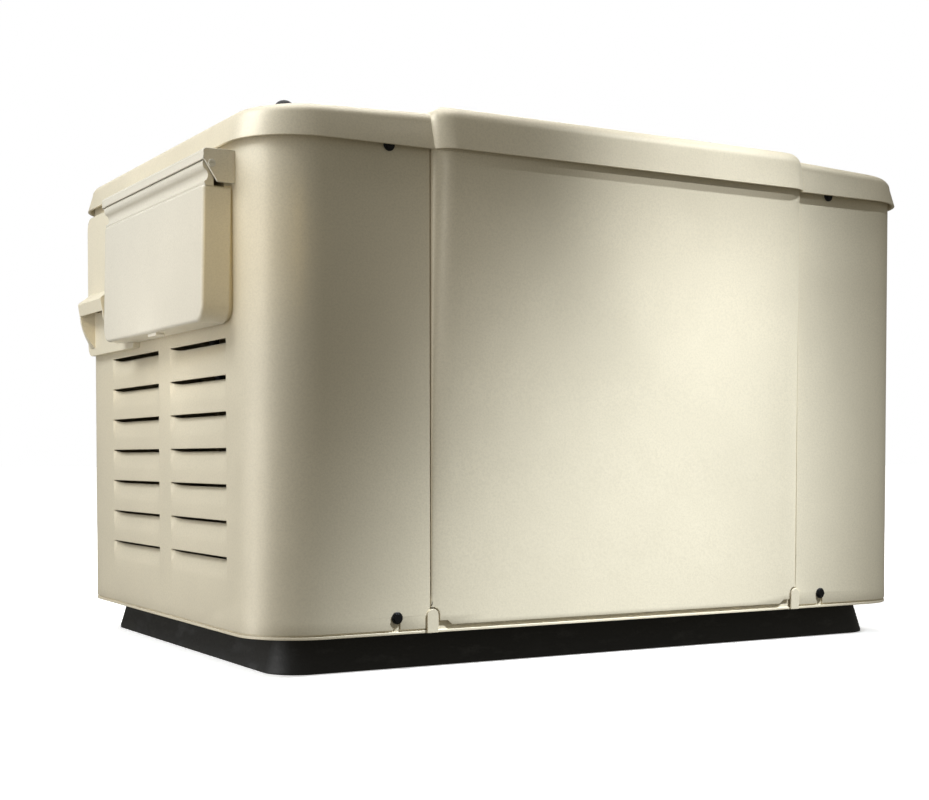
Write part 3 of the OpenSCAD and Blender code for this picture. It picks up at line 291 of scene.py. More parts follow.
def galvanised_sheet(name, colour):
    """Zinc spangle: flat crystals, each with its own tone."""
    s = Shader(name, Metallic=0.95)
    crystal = s.cells(0.011, "Color")
    tone = s.noise(0.004, 3)
    s.colour(tone, 0.6, 0.4, 0.7, colour, shade(colour, 0.75))
    s.set("Roughness", s.ramp(crystal, 0.27, 0.5))
    s.bump(s.noise(0.002, 2), 0.00003)


def laminated_steel(name, colour):
    """Stacked laminations: thin rings across the shaft, under varnish."""
    s = Shader(name, Metallic=0.55)
    layers = s.noise(0.0011, 0, 0.5, s.stretched((1, 0.01, 0.01)))
    varnish = s.noise(0.02, 4, 0.6)
    tone = s.mix(layers, 1, 0.35, 0.65, shade(colour, 0.55), shade(colour, 1.2))
    s.colour(varnish, 0.5, 0.5, 0.8, tone, (0.16, 0.07, 0.03))
    s.roughness(varnish, 0.5, 0.3, 0.35, 0.7)
    s.bump(layers, 0.0002)


def wound_copper(name):
    """Enamelled turns, tied and varnished."""
    s = Shader(name, Metallic=0.85)
    turns = s.noise(0.0016, 1, 0.5, s.stretched((0.25, 1, 1)))
    tone = s.noise(0.012, 3)
    bright, dull = (0.58, 0.20, 0.07), (0.30, 0.09, 0.03)
    s.colour(tone, 1, 0.35, 0.7, bright, dull)
    s.roughness(tone, 0.32, 0.5)
    s.bump(turns, 0.0009)


def hot_steel(name, colour):
    """Aluminised steel with heat tint and light rust bloom."""
    s = Shader(name, Metallic=0.85)
    tint = s.noise(0.07, 4, 0.6)
    bloom = s.noise(0.006, 5, 0.7)
    tone = s.mix(tint, 1, 0.35, 0.7, colour, (0.33, 0.24, 0.15))
    s.colour(bloom, 0.75, 0.56, 0.72, tone, (0.20, 0.085, 0.035))
    s.roughness(bloom, 0.38, 0.72, 0.4, 0.7)
    s.bump(bloom, 0.00012)


def moulded_rubber(name, colour):
    """Moulded rubber, with dust that clings."""
    s = Shader(name)
    dust = s.noise(0.02, 5, 0.7)
    s.colour(dust, 0.8, 0.45, 0.8, colour, (0.075, 0.072, 0.066))
    s.roughness(dust, 0.62, 0.86)
    s.bump(s.noise(0.0012, 2), 0.00005)


def pad_composite(name, colour):
    """Black moulded composite: pebbled, with chalky rubs where it was handled."""
    s = Shader(name)
    pebble = s.noise(0.0028, 3, 0.6)
    rub = s.noise(0.02, 6, 0.7, s.stretched((0.35, 0.35, 1)))
    tone = s.mix(rub, 0.75, 0.52, 0.78, colour, (0.085, 0.085, 0.088))
    s.colour(pebble, 0.5, 0.5, 0.75, tone, shade(colour, 0.5))
    s.roughness(rub, 0.46, 0.72, 0.35, 0.7)
    s.bump(pebble, 0.00022)


def satin_plastic(name, colour, roughness=0.28):
    """Smooth moulded plastic, with finger smears."""
    s = Shader(name, Coat_Weight=0.15)
    smear = s.noise(0.012, 4, 0.6)
    s.colour(smear, 0.4, 0.45, 0.8, colour, shade(colour, 0.8))
    s.roughness(smear, roughness - 0.06, roughness + 0.12, 0.35, 0.7)
    s.bump(s.noise(0.0015, 1), 0.00001)


def smoked_glass(name, colour):
    """Dark clear plastic over a display, lightly smeared."""
    s = Shader(name, Transmission_Weight=0.65, IOR=1.49)
    smear = s.noise(0.02, 4, 0.6)
    s.colour(smear, 0.3, 0.45, 0.8, colour, shade(colour, 0.8))
    s.roughness(smear, 0.04, 0.16, 0.35, 0.75)


def lit_lens(name, colour):
    """A lamp's lens, with a faint glow."""
    s = Shader(name, Transmission_Weight=0.35, IOR=1.49, Emission_Strength=0.25)
    core = s.noise(0.002, 2)
    s.colour(core, 0.6, 0.4, 0.7, colour, shade(colour, 0.7))
    s.set("Emission Color", colour)
    s.set("Roughness", s.ramp(core, 0.1, 0.25))


def circuit_lacquer(name):
    """Green solder mask over copper tracks."""
    s = Shader(name, Coat_Weight=0.4)
    tracks = s.cells(0.006, "Distance", "DISTANCE_TO_EDGE")
    edge = s.ramp(tracks, 1, 0, 0.02, 0.06)
    s.set("Base Color", s.blend(edge, (0.015, 0.10, 0.035), (0.04, 0.22, 0.07)))
    s.set("Roughness", s.ramp(s.noise(0.01, 3), 0.25, 0.4))
    s.bump(edge, 0.00003)


def add_materials():
    """One material for each of the record's slots, then the second ones of some nodes."""
    powder_coat("cream_paint", (0.786, 0.711, 0.551), metallic=0.12)
    powder_coat("door_paint", (0.797, 0.749, 0.642), 0.0009, 0.00002, 0.25, wear=0.3)
    powder_coat("cream_plastic", (0.792, 0.722, 0.567), 0.0008, 0.00002, 0.46)
    pad_composite("pad_black", (0.016, 0.016, 0.017))
    machined_metal("black_hardware", (0.035, 0.035, 0.037), 0.4)
    machined_metal("zinc_steel", (0.74, 0.73, 0.69), 0.42, metallic=0.6)
    galvanised_sheet("galvanised", (0.64, 0.66, 0.67))
    cast_metal("cast_aluminium", (0.62, 0.63, 0.64))
    machined_metal("machined_steel", (0.50, 0.51, 0.52), 0.24, (30, 1, 1))
    laminated_steel("lamination", (0.24, 0.22, 0.21))
    powder_coat("engine_black", (0.03, 0.03, 0.033), 0.0016, 0.00006, 0.38)
    powder_coat("engine_grey", (0.13, 0.14, 0.15), 0.0016, 0.00008, 0.42)
    moulded_rubber("rubber", (0.022, 0.022, 0.023))
    moulded_plastic("black_plastic", (0.028, 0.028, 0.03), 0.48)
    moulded_plastic("battery_plastic", (0.04, 0.04, 0.045), 0.36)
    hot_steel("muffler_steel", (0.50, 0.47, 0.42))
    machined_metal("brass", (0.72, 0.50, 0.20), 0.3)
    satin_plastic("ceramic_white", (0.86, 0.85, 0.81), 0.18)
    satin_plastic("filter_white", (0.80, 0.80, 0.78), 0.26)
    circuit_lacquer("board_green")
    smoked_glass("display_glass", (0.16, 0.24, 0.25))
    lit_lens("lamp_lens", (0.25, 0.62, 0.22))
    satin_plastic("key_green", (0.06, 0.36, 0.13))
    satin_plastic("key_red", (0.52, 0.05, 0.035))
    satin_plastic("key_blue", (0.06, 0.17, 0.42))
    satin_plastic("key_grey", (0.36, 0.38, 0.40))
    satin_plastic("toggle_white", (0.78, 0.78, 0.75))
    satin_plastic("breaker_black", (0.025, 0.025, 0.027), 0.34)
    satin_plastic("dipstick_yellow", (0.80, 0.52, 0.03), 0.32)
    wound_copper("copper")
    lit_lens("amber_lens", (0.80, 0.42, 0.05))
    lit_lens("red_lens", (0.62, 0.05, 0.03))


# ---- mesh tools ----

def adopt(obj, name, body, slot):
    """Names a finished piece, and gives it its body and its finish."""
    obj.name = name
    obj.data.materials.clear()
    obj.data.materials.append(MATERIALS[slot])
    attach(obj, body)


def piece(name, verts, faces, body=None, slot=None):
    """A new visible piece from millimetre points; without a body, it is stock for a boolean."""
    mesh = bpy.data.meshes.new(name)
    mesh.from_pydata([Vector(v) * MM for v in verts], [], faces)
    clean = bmesh.new()
    clean.from_mesh(mesh)
    bmesh.ops.remove_doubles(clean, verts=clean.verts, dist=0.001 * MM)
    bmesh.ops.recalc_face_normals(clean, faces=clean.faces)
    clean.to_mesh(mesh)
    clean.free()
    obj = add_object(name, mesh)
    if body:
        adopt(obj, name, body, slot)
    return obj


def smooth(mesh):
    for face in mesh.polygons:
        face.use_smooth = True


def evaluated_mesh(obj):
    """A mesh of an object with its modifiers done."""
    bpy.context.view_layer.update()
    depsgraph = bpy.context.evaluated_depsgraph_get()
    return bpy.data.meshes.new_from_object(obj.evaluated_get(depsgraph))


def settle(obj, angle=32):
    """Bakes the modifiers into the mesh, and shades it smooth up to an angle."""
    baked = evaluated_mesh(obj)
    obj.modifiers.clear()
    obj.data = baked
    smooth(baked)
    baked.set_sharp_from_angle(angle=math.radians(angle))


def round_edges(obj, width, angle=40, segments=2):
    """A bevel on the edges sharper than an angle."""
    bevel = obj.modifiers.new("edges", "BEVEL")
    bevel.width = width * MM
    bevel.segments = segments
    bevel.limit_method = "ANGLE"
    bevel.angle_limit = math.radians(angle)
    bevel.use_clamp_overlap = False
    bevel.miter_outer = "MITER_ARC"


def steady_normals(obj, keep_sharp=False):
    """Lets the large faces lead the shading, so that flat faces look flat beside a bevel."""
    normals = obj.modifiers.new("normals", "WEIGHTED_NORMAL")
    normals.weight = 80
    normals.keep_sharp = keep_sharp


def split_faces(obj):
    """Splits the flat faces left by booleans, so that a bevel meets no face with a hole in it."""
    split = bmesh.new()
    split.from_mesh(obj.data)
    bmesh.ops.triangulate(split, faces=[face for face in split.faces if len(face.verts) > 4])
    split.to_mesh(obj.data)
    split.free()
    smooth(obj.data)


def round_solid(obj, width, segments):
    """Eases the edges of a solid that booleans made."""
    split_faces(obj)
    round_edges(obj, width, 35, segments)
    steady_normals(obj)


def combine(obj, other, operation):
    """Boolean of two closed solids; the other one is used up."""
    change = obj.modifiers.new(operation.lower(), "BOOLEAN")
    change.operation = operation
    change.solver = "EXACT"
    change.object = other
    settle(obj)
    bpy.data.objects.remove(other)


def loft(loops, capped=False):
    """Points and faces of a skin over loops of equal length, with or without end caps."""
    count = len(loops[0])
    verts = [point for loop in loops for point in loop]
    last = len(verts) - count
    faces = []
    for base in range(0, last, count):
        for i in range(count):
            j = (i + 1) % count
            faces.append((base + i, base + j, base + count + j, base + count + i))
    if capped:
        faces += [tuple(range(count)), tuple(range(last, len(verts)))]
    return verts, faces


def arc(centre, radius, start, end, steps):
    """Points on an arc, in degrees."""
    angles = [math.radians(start + (end - start) * i / steps) for i in range(steps + 1)]
    return [(centre[0] + radius * math.cos(a), centre[1] + radius * math.sin(a)) for a in angles]


def spaced(low, high, count):
    """Both ends, and equal steps between them."""
    return [low + (high - low) * i / count for i in range(count + 1)]


def rounded_rect(low, high, radii, steps):
    """Loop round a rectangle; the corners' radii start at the low-low one and go anticlockwise."""
    corners = [(low[0], low[1]), (high[0], low[1]), (high[0], high[1]), (low[0], high[1])]
    inward = [(1, 1), (-1, 1), (-1, -1), (1, -1)]
    points = []
    for k, (corner, sign, radius) in enumerate(zip(corners, inward, radii)):
        centre = (corner[0] + sign[0] * radius, corner[1] + sign[1] * radius)
        points += arc(centre, radius, 180 + 90 * k, 270 + 90 * k, steps)
    return points


def inside(low, high, across, up):
    """Whether a point lies in the rectangle between two corners."""
    return low[0] < across < high[0] and low[1] < up < high[1]


def grow(low, high, by):
    """A rectangle's two corners, moved outwards."""
    return (low[0] - by, low[1] - by), (high[0] + by, high[1] + by)


def tensor(columns, levels, place, keep):
    """Sheet over a grid: place(column, level) gives a point, keep(i, k) says which cells stay."""
    verts = [place(c, z) for z in levels for c in columns]
    width = len(columns)
    faces = []
    for k in range(len(levels) - 1):
        for i in range(width - 1):
            if keep(i, k):
                a = k * width + i
                faces.append((a, a + 1, a + 1 + width, a + width))
    return verts, faces


def solid(name, loops):
    """A closed block over loops, as stock for a boolean."""
    return piece(name, *loft(loops, True))


def prism(name, outline, x_low, x_high):
    """A Y-Z outline extruded along X."""
    return solid(name, [[(x, y, z) for y, z in outline] for x in (x_low, x_high)])


def extruded(name, outline, y_low, y_high):
    """An X-Z outline extruded along Y."""
    return solid(name, [[(x, y, z) for x, z in outline] for y in (y_low, y_high)])


def cut(obj, outline, x_low, x_high):
    """Takes a prism along X out of a solid."""
    combine(obj, prism("cut", outline, x_low, x_high), "DIFFERENCE")


# ---- the enclosure's sizes, in millimetres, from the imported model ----

def corner(node, which):
    """A node's lowest (0) or highest (1) corner."""
    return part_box(node)[which] / MM


END_X = corner("right_end_wrap", 1).x
FACE_Y = corner("right_end_wrap", 1).y
SEAM_X = corner("right_end_wrap", 0).x
WRAP_Z = corner("right_end_wrap", 0).z
WALL_TOP = corner("right_end_wrap", 1).z
PANEL_Z = corner("front_panel", 0).z
PROUD_TOP = -FACE_Y - corner("front_panel", 0).y
CORNER_R = 73
SHEET = 2
ROOF_WALL = 3
SEAM_LIP = 14


# ---- end wraps ----

# Points on the ends are (y, z). A louvre is pressed in below its slit, and its ends are rounded.
LOUVRE_H = 23
LOUVRE_SLIT = 3.6
LOUVRE_IN = 8
LOUVRE_END = 30
LOUVRE_BOW = 1.35
LOUVRE_GUARD = 1.6
HOLE_CELLS = 6
LOUVRE_ROWS = [362.5 - 40 * i for i in range(7)]
LOUVRE_COLUMNS = [(-228, -44), (-2, 185)]
# The left end's openings behind the controls and the cowl, and the right end's exhaust port.
LEFT_OPENINGS = [((-239, 391), (95, 523)), ((152, 428), (224, 453))]
PORT_CENTRE, PORT_R, PORT_CELL = (120, 425), 24, 30
BOLT_X, BOLT_Z, BOLT_SLOT, SLOT_TIP = 309, 60, 4.5, 2
EASE = 1.2


def louvre_lines(low, high):
    """Grid lines across one louvre: close together over its rounded ends."""
    ease = [LOUVRE_END * (1 - math.cos(math.radians(a))) for a in range(0, 91, 15)]
    return [low + e for e in ease] + [(low + high) / 2] + [high - e for e in reversed(ease)]


def louvre_levels(rows):
    """Grid heights for rows of louvres, with a guard line above each slit."""
    levels = set()
    for top in rows:
        levels.update(spaced(top - LOUVRE_H, top, 5))
        levels.update((top + LOUVRE_SLIT, top + LOUVRE_SLIT + LOUVRE_GUARD))
    return levels


def louvre_columns(columns):
    """Grid lines across columns of louvres, with a guard line beside each."""
    lines = set()
    for low, high in columns:
        lines.update(louvre_lines(low, high))
        lines.update((low - LOUVRE_GUARD, high + LOUVRE_GUARD))
    return lines


def pressed(across, z, columns, rows):
    """How deep a louvred face is pressed in at a point, and how far up its edge is pulled."""
    for low, high in columns:
        if low < across < high:
            reach = min(1, (across - low) / LOUVRE_END, (high - across) / LOUVRE_END)
            side = math.sqrt(1 - (1 - reach) ** 2)
            for top in rows:
                if top - LOUVRE_H < z <= top:
                    up = (z - top + LOUVRE_H) / LOUVRE_H
                    return LOUVRE_IN * side * up ** LOUVRE_BOW, LOUVRE_SLIT * (1 - side) * up
    return 0, 0


def in_slit(across, z, columns, rows):
    """Whether a point lies in the open slit above a louvre."""
    beside = any(low + 1 < across < high - 1 for low, high in columns)
    return beside and any(0 < z - top < LOUVRE_SLIT for top in rows)


def add_ring(verts, faces, half, circles, place):
    """Adds the face round a hole, from a square to circles of (radius, depth)."""
    steps = spaced(-half, half, HOLE_CELLS)
    square = [(s, -half) for s in steps[:-1]] + [(half, s) for s in steps[:-1]]
    square += [(-a, -b) for a, b in square]
    loops = [[place(a, b, 0) for a, b in square]]
    for radius, depth in circles:
        loops.append([place(radius * a / math.hypot(a, b), radius * b / math.hypot(a, b), depth)
                      for a, b in square])
    ring_verts, ring_faces = loft(loops)
    faces += [tuple(i + len(verts) for i in face) for face in ring_faces]
    verts += ring_verts


def face_outwards(obj):
    """Turns a sheet's normals away from the object's middle."""
    mesh = obj.data
    vote = 0
    for face in mesh.polygons:
        away = face.center - Vector((0, 0, face.center.z))
        vote += face.area * away.normalized().dot(face.normal)
    if vote < 0:
        mesh.flip_normals()


def sheet_piece(name, verts, faces, node, ease, angle):
    """One sheet of the cabinet, with its wall behind its outer side and its edges eased."""
    obj = piece(name, verts, faces, "cabinet", "cream_paint")
    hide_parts(node)
    face_outwards(obj)
    wall = obj.modifiers.new("wall", "SOLIDIFY")
    wall.thickness = SHEET * MM
    wall.offset = -1
    wall.use_even_offset = True
    round_edges(obj, ease, 50)
    settle(obj, angle)


def end_wrap(side, name, node):
    """One end's sheet: lips, corners and the louvred end face; side is +1 (ported) or -1."""
    ported = side > 0
    ys = louvre_columns(LOUVRE_COLUMNS) | {-FACE_Y + CORNER_R, FACE_Y - CORNER_R}
    zs = louvre_levels(LOUVRE_ROWS) | {WRAP_Z, BOLT_Z, BOLT_Z + SLOT_TIP, WALL_TOP}
    port_y, port_z = PORT_CENTRE
    if ported:
        ys.update(spaced(port_y - PORT_CELL, port_y + PORT_CELL, HOLE_CELLS))
        zs.update(spaced(port_z - PORT_CELL, port_z + PORT_CELL, HOLE_CELLS))
    else:
        for y, z in LEFT_OPENINGS[0] + LEFT_OPENINGS[1]:
            ys.add(y)
            zs.add(z)
    levels = sorted(zs)
    # Columns run from the front lip, round the corner and across the end face, to the back lip.
    turn = arc((END_X - CORNER_R, -FACE_Y + CORNER_R), CORNER_R, 270, 360, 14)
    front = [(SEAM_X, -FACE_Y + SEAM_LIP), (SEAM_X, -FACE_Y + EASE), (SEAM_X + EASE, -FACE_Y),
             (BOLT_X - BOLT_SLOT, -FACE_Y), (BOLT_X + BOLT_SLOT, -FACE_Y)] + turn[:-1]
    back = [(x, -y) for x, y in reversed(front)]
    columns = front + [(END_X, y) for y in sorted(ys)] + back
    last = len(columns) - 1
    bolt_columns = (3, last - 4)
    lip_columns = (0, 1, last - 1, last - 2)

    def place(column, z):
        x, y = column
        inward, up = pressed(y, z, LOUVRE_COLUMNS, LOUVRE_ROWS) if x == END_X else (0, 0)
        return (side * (x - inward), y, z + up)

    def keep(i, k):
        first, second = columns[i], columns[i + 1]
        z = (levels[k] + levels[k + 1]) / 2
        y = (first[1] + second[1]) / 2
        if i in bolt_columns:
            return z > BOLT_Z
        if i in lip_columns and z < BOLT_Z + SLOT_TIP:
            return False
        if first[0] != END_X or second[0] != END_X:
            return True
        if in_slit(y, z, LOUVRE_COLUMNS, LOUVRE_ROWS):
            return False
        if ported:
            return max(abs(y - port_y), abs(z - port_z)) > PORT_CELL
        return not any(inside(low, high, y, z) for low, high in LEFT_OPENINGS)

    verts, faces = tensor(columns, levels, place, keep)
    if ported:
        collar = [(PORT_R + 3, 0), (PORT_R + 0.8, 0.7), (PORT_R, 2.5), (PORT_R, 6)]
        add_ring(verts, faces, PORT_CELL, collar,
                 lambda a, b, depth: (side * (END_X - depth), port_y + a, port_z + b))
    sheet_piece(name, verts, faces, node, 0.35, 35)


# ---- front panel ----

# The panel stands prouder towards its top; the notches at its foot clear the pan's corner tabs.
SHOULDER = 26
PANEL_HALF = SEAM_X - 0.8
PROUD_BOTTOM = 1.5
NOTCH_X, NOTCH_FOOT_X, NOTCH_FOOT_Z = 256, 240, 54.5
TAB_X, TAB_Z, TAB_R = 265, 61, 9
TUCK_Z = 571.5
SHOULDER_STEPS = 10
TAB_STEPS = 6


def notch_edge(z):
    """Where the panel ends beside a corner tab: upright, then a quarter round over the tab."""
    if z <= TAB_Z:
        return NOTCH_X
    if z < TAB_Z + TAB_R:
        return TAB_X - math.sqrt(TAB_R ** 2 - (z - TAB_Z) ** 2)
    return TAB_X


def front_panel():
    """The bowed front: flat in the middle, rounded at its shoulders, notched over the pan's tabs."""
    inner = PANEL_HALF - SHOULDER
    notch_top = TAB_Z + TAB_R
    levels = [PANEL_Z, NOTCH_FOOT_Z]
    levels += [TAB_Z + TAB_R * math.sin(math.radians(a)) for a in range(0, 91, 15)]
    levels += spaced(90, TUCK_Z, 8) + spaced(TUCK_Z + 2, WALL_TOP, 2)

    def across(i, z):
        """Distance of shoulder line i from the middle, at height z."""
        x = inner + SHOULDER * math.sin(math.radians(90 * i / SHOULDER_STEPS))
        if z > notch_top + 1:
            return x
        edge = notch_edge(z)
        start = NOTCH_FOOT_X + (6 if z >= NOTCH_FOOT_Z else 0)
        if i == 0:
            return start
        if i <= TAB_STEPS:
            return start + (edge - start) * i / TAB_STEPS
        return edge + (PANEL_HALF - edge) * (i - TAB_STEPS) / (SHOULDER_STEPS - TAB_STEPS)

    def place(column, z):
        """A column is (sign, shoulder line, how far back), or (x, None, 0) on the flat."""
        sign, i, back = column
        proud = PROUD_BOTTOM + (PROUD_TOP - PROUD_BOTTOM) * (z - PANEL_Z) / (WALL_TOP - PANEL_Z)
        if i is None:
            return (sign, -FACE_Y - proud, z)
        x = across(i, z)
        if back:
            return (sign * PANEL_HALF, -FACE_Y + back, z)
        bow = math.sqrt(max(0, 1 - ((x - inner) / SHOULDER) ** 2)) if x > inner else 1
        return (sign * x, -FACE_Y - proud * bow, z)

    half = [(1, i, 0) for i in range(SHOULDER_STEPS + 1)]
    half += [(1, SHOULDER_STEPS, 3), (1, SHOULDER_STEPS, SEAM_LIP)]
    flat = [(x, None, 0) for x in spaced(-200, 200, 4)]
    columns = [(-1, i, back) for _, i, back in reversed(half)] + flat + half
    last = len(columns) - 2

    def keep(i, k):
        z = (levels[k] + levels[k + 1]) / 2
        beside = min(i, last - i)
        if beside < 2:
            return z > notch_top
        shoulder = SHOULDER_STEPS + 1 - beside
        if shoulder < 0 or z > notch_top:
            return True
        return z > NOTCH_FOOT_Z and shoulder < TAB_STEPS

    verts, faces = tensor(columns, levels, place, keep)
    sheet_piece("front_panel_skin", verts, faces, "front_panel", 0.45, 30)
    x, low, high = PANEL_HALF - 4, WALL_TOP - SHEET, WALL_TOP - 0.1
    section = [(-x, low), (x, low), (x, high), (-x, high)]
    flange = extruded("flange", section, -FACE_Y - PROUD_TOP + SHEET, -FACE_Y + SEAM_LIP)
    round_edges(flange, 0.3)
    settle(flange)
    adopt(flange, "front_panel_flange", "cabinet", "cream_paint")


# ---- roof ----

SKIRT_Z = corner("roof", 0).z
ROOF_MID_Z = corner("roof", 1).z
ROOF_END_Z = 607
ROOF_SEAM_Z = 614.6
FLARE = corner("roof", 1).x - END_X
SKIRT_TOP_OUT = 2.5
HOLLOW_DROP = 2
CROWN_IN = 1.5
BACK_CORNER_R = 7


def body_loop(out):
    """The body's outline moved outwards, with stations at the seams."""
    radius = CORNER_R + out
    cx, cy = END_X - CORNER_R, FACE_Y - CORNER_R
    quarter = arc((cx, cy), radius, 0, 90, 14)
    side = [(SEAM_X, cy + radius), (-SEAM_X, cy + radius)]
    top = quarter + side + [(-x, y) for x, y in reversed(quarter)]
    return top + [(-x, -y) for x, y in top]


def end_top(x):
    """Height of the roof's ends, which fall away from the middle section."""
    run = min(max(abs(x), SEAM_X), END_X)
    return ROOF_END_Z + (ROOF_SEAM_Z - ROOF_END_Z) * (END_X - run) / (END_X - SEAM_X)


def fillet_levels(out, drop, width, steps):
    """(offset, drop) pairs over a quarter round from the skirt to the top."""
    angles = [math.radians(90 * i / steps) for i in range(steps + 1)]
    return [(out - width * (1 - math.cos(a)), drop * (1 - math.sin(a))) for a in angles]


def strip_block(name, loops):
    """A closed block over loops, capped with strips between points that mirror each other."""
    verts, faces = loft(loops)
    count = len(loops[0])
    for base in (0, len(verts) - count):
        for i in range(count // 2 - 1):
            faces.append((base + i, base + i + 1, base + count - 2 - i, base + count - 1 - i))
    return piece(name, verts, faces)


def roof_ends(inset):
    """The roof's two ends as one closed block, moved inwards."""
    low = SKIRT_Z - (HOLLOW_DROP if inset else 0)
    loops = [[(x, y, low) for x, y in body_loop(FLARE - inset)]]
    rounds = fillet_levels(SKIRT_TOP_OUT - inset, 13, 14.5, 7)
    for out, drop in rounds + [(rounds[-1][0] - CROWN_IN, 0)]:
        loops.append([(x, y, end_top(x) - inset - drop) for x, y in body_loop(out)])
    return strip_block("roof_ends", loops)


def middle_loop(half, front, back):
    """Outline of the raised middle: elliptical shoulders in front, rounded corners behind."""
    inner = half - SHOULDER
    angles = [math.radians(a) for a in range(0, 91, 9)]
    out = [(inner + SHOULDER * math.sin(a), -FACE_Y - front * math.cos(a)) for a in angles]
    out += arc((half - BACK_CORNER_R, FACE_Y + back - BACK_CORNER_R), BACK_CORNER_R, 0, 90, 5)
    return [(-x, y) for x, y in reversed(out)] + out


def roof_middle(inset):
    """The raised middle section as one closed block, moved inwards."""
    loops = []
    low = SKIRT_Z - (HOLLOW_DROP if inset else 0)
    rounds = fillet_levels(SKIRT_TOP_OUT, 18.4, 17, 8)
    levels = [(FLARE, low, 0)]
    levels += [(out, ROOF_MID_Z - inset - drop, SKIRT_TOP_OUT - out) for out, drop in rounds]
    crown = rounds[-1][0] - CROWN_IN
    levels.append((crown, ROOF_MID_Z - inset, SKIRT_TOP_OUT - crown))
    for out, z, narrow in levels:
        half = SEAM_X + 0.6 - narrow - inset
        front = max(0.4, PROUD_TOP + out - inset)
        loop = middle_loop(half, front, out + 0.8 - inset)
        loops.append([(x, y, z) for x, y in loop])
    return strip_block("roof_middle", loops)


def roof():
    """The one-piece roof: its outer block less its inner one."""
    skin, hollow = roof_ends(0), roof_ends(ROOF_WALL)
    combine(skin, roof_middle(0), "UNION")
    combine(hollow, roof_middle(ROOF_WALL), "UNION")
    combine(skin, hollow, "DIFFERENCE")
    split_faces(skin)
    round_edges(skin, 0.6, 62, 3)
    settle(skin, 28)
    adopt(skin, "roof_skin", "roof_assembly", "cream_paint")
    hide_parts("roof")


# ---- rear panel ----

REAR_COLUMNS = [(-232, -27), (27, 232)]
REAR_ROWS = [520 - 40 * i for i in range(7)]
# (x, radius) of the gas pipe's hole and the conduit's.
REAR_HOLES = [(-55, 17), (-200, 18)]
REAR_HOLE_Z = 130
HOLE_CELL = 26


def rear_panel():
    """The flat, louvred back, with a hole for the gas pipe and one for the conduit."""
    low, high = corner("rear_panel", 0), corner("rear_panel", 1)
    xs = louvre_columns(REAR_COLUMNS) | {-high.x, high.x}
    zs = louvre_levels(REAR_ROWS) | {low.z, high.z}
    xs = {x for x in xs if all(abs(x - c) > HOLE_CELL for c, _ in REAR_HOLES)}
    for centre, _ in REAR_HOLES:
        xs.update(spaced(centre - HOLE_CELL, centre + HOLE_CELL, HOLE_CELLS))
    zs.update(spaced(REAR_HOLE_Z - HOLE_CELL, REAR_HOLE_Z + HOLE_CELL, HOLE_CELLS))
    columns, levels = sorted(xs), sorted(zs)

    def place(x, z):
        inward, up = pressed(x, z, REAR_COLUMNS, REAR_ROWS)
        return (x, FACE_Y - inward, z + up)

    def keep(i, k):
        x, z = (columns[i] + columns[i + 1]) / 2, (levels[k] + levels[k + 1]) / 2
        in_hole = any(abs(x - c) < HOLE_CELL for c, _ in REAR_HOLES)
        if in_hole and abs(z - REAR_HOLE_Z) < HOLE_CELL:
            return False
        return not in_slit(x, z, REAR_COLUMNS, REAR_ROWS)

    verts, faces = tensor(columns, levels, place, keep)
    for centre, radius in REAR_HOLES:
        add_ring(verts, faces, HOLE_CELL, [(radius + 3, 0), (radius, 0)],
                 lambda a, b, depth: (centre + a, FACE_Y - depth, REAR_HOLE_Z + b))
    sheet_piece("rear_panel_skin", verts, faces, "rear_panel", 0.35, 35)


# ---- control end ----

END_FACE = -END_X
BEZEL_FACE = END_FACE - 9
BEZEL_LOW, BEZEL_HIGH, BEZEL_R = (-248, 384), (268, 561), 16
BEZEL_STEP = (70, 374)
OPENING_LOW, OPENING_HIGH = (-236, 394), (92, 520)
OPENING_R, COLLAR_R, WINDOW_R = 6, 8, 2.2
STEP_R = 5
COLLAR_IN, COLLAR = 24, 2.6
BACK_NEAR, BACK_FAR = -470, -472
COWL_SLOTS = [430, 438, 446]
COWL_SLOT_Y, COWL_SLOT_H, COWL_SLOT_R = (152, 224), 5, 2.4
WINDOWS = [((-228, 402), (32, 512)), ((42, 420), (84, 504)), ((46, 400), (80, 415))]
# How far a cutter runs past what it cuts.
THROUGH = 5


def bezel_outline():
    """Round the bezel, with the step in its lower edge."""
    step_y, step_z = BEZEL_STEP
    low_y, high_y = BEZEL_LOW[0] + BEZEL_R, BEZEL_HIGH[0] - BEZEL_R
    high_z = BEZEL_HIGH[1] - BEZEL_R
    points = arc((low_y, BEZEL_LOW[1] + BEZEL_R), BEZEL_R, 180, 270, 8)
    points += arc((step_y - STEP_R - 1, BEZEL_LOW[1] - STEP_R), STEP_R, 90, 0, 5)
    points += arc((step_y + STEP_R, step_z + STEP_R), STEP_R, 180, 270, 5)
    points += arc((high_y, step_z + BEZEL_R), BEZEL_R, 270, 360, 8)
    points += arc((high_y, high_z), BEZEL_R, 0, 90, 8)
    points += arc((low_y, high_z), BEZEL_R, 90, 180, 8)
    return points


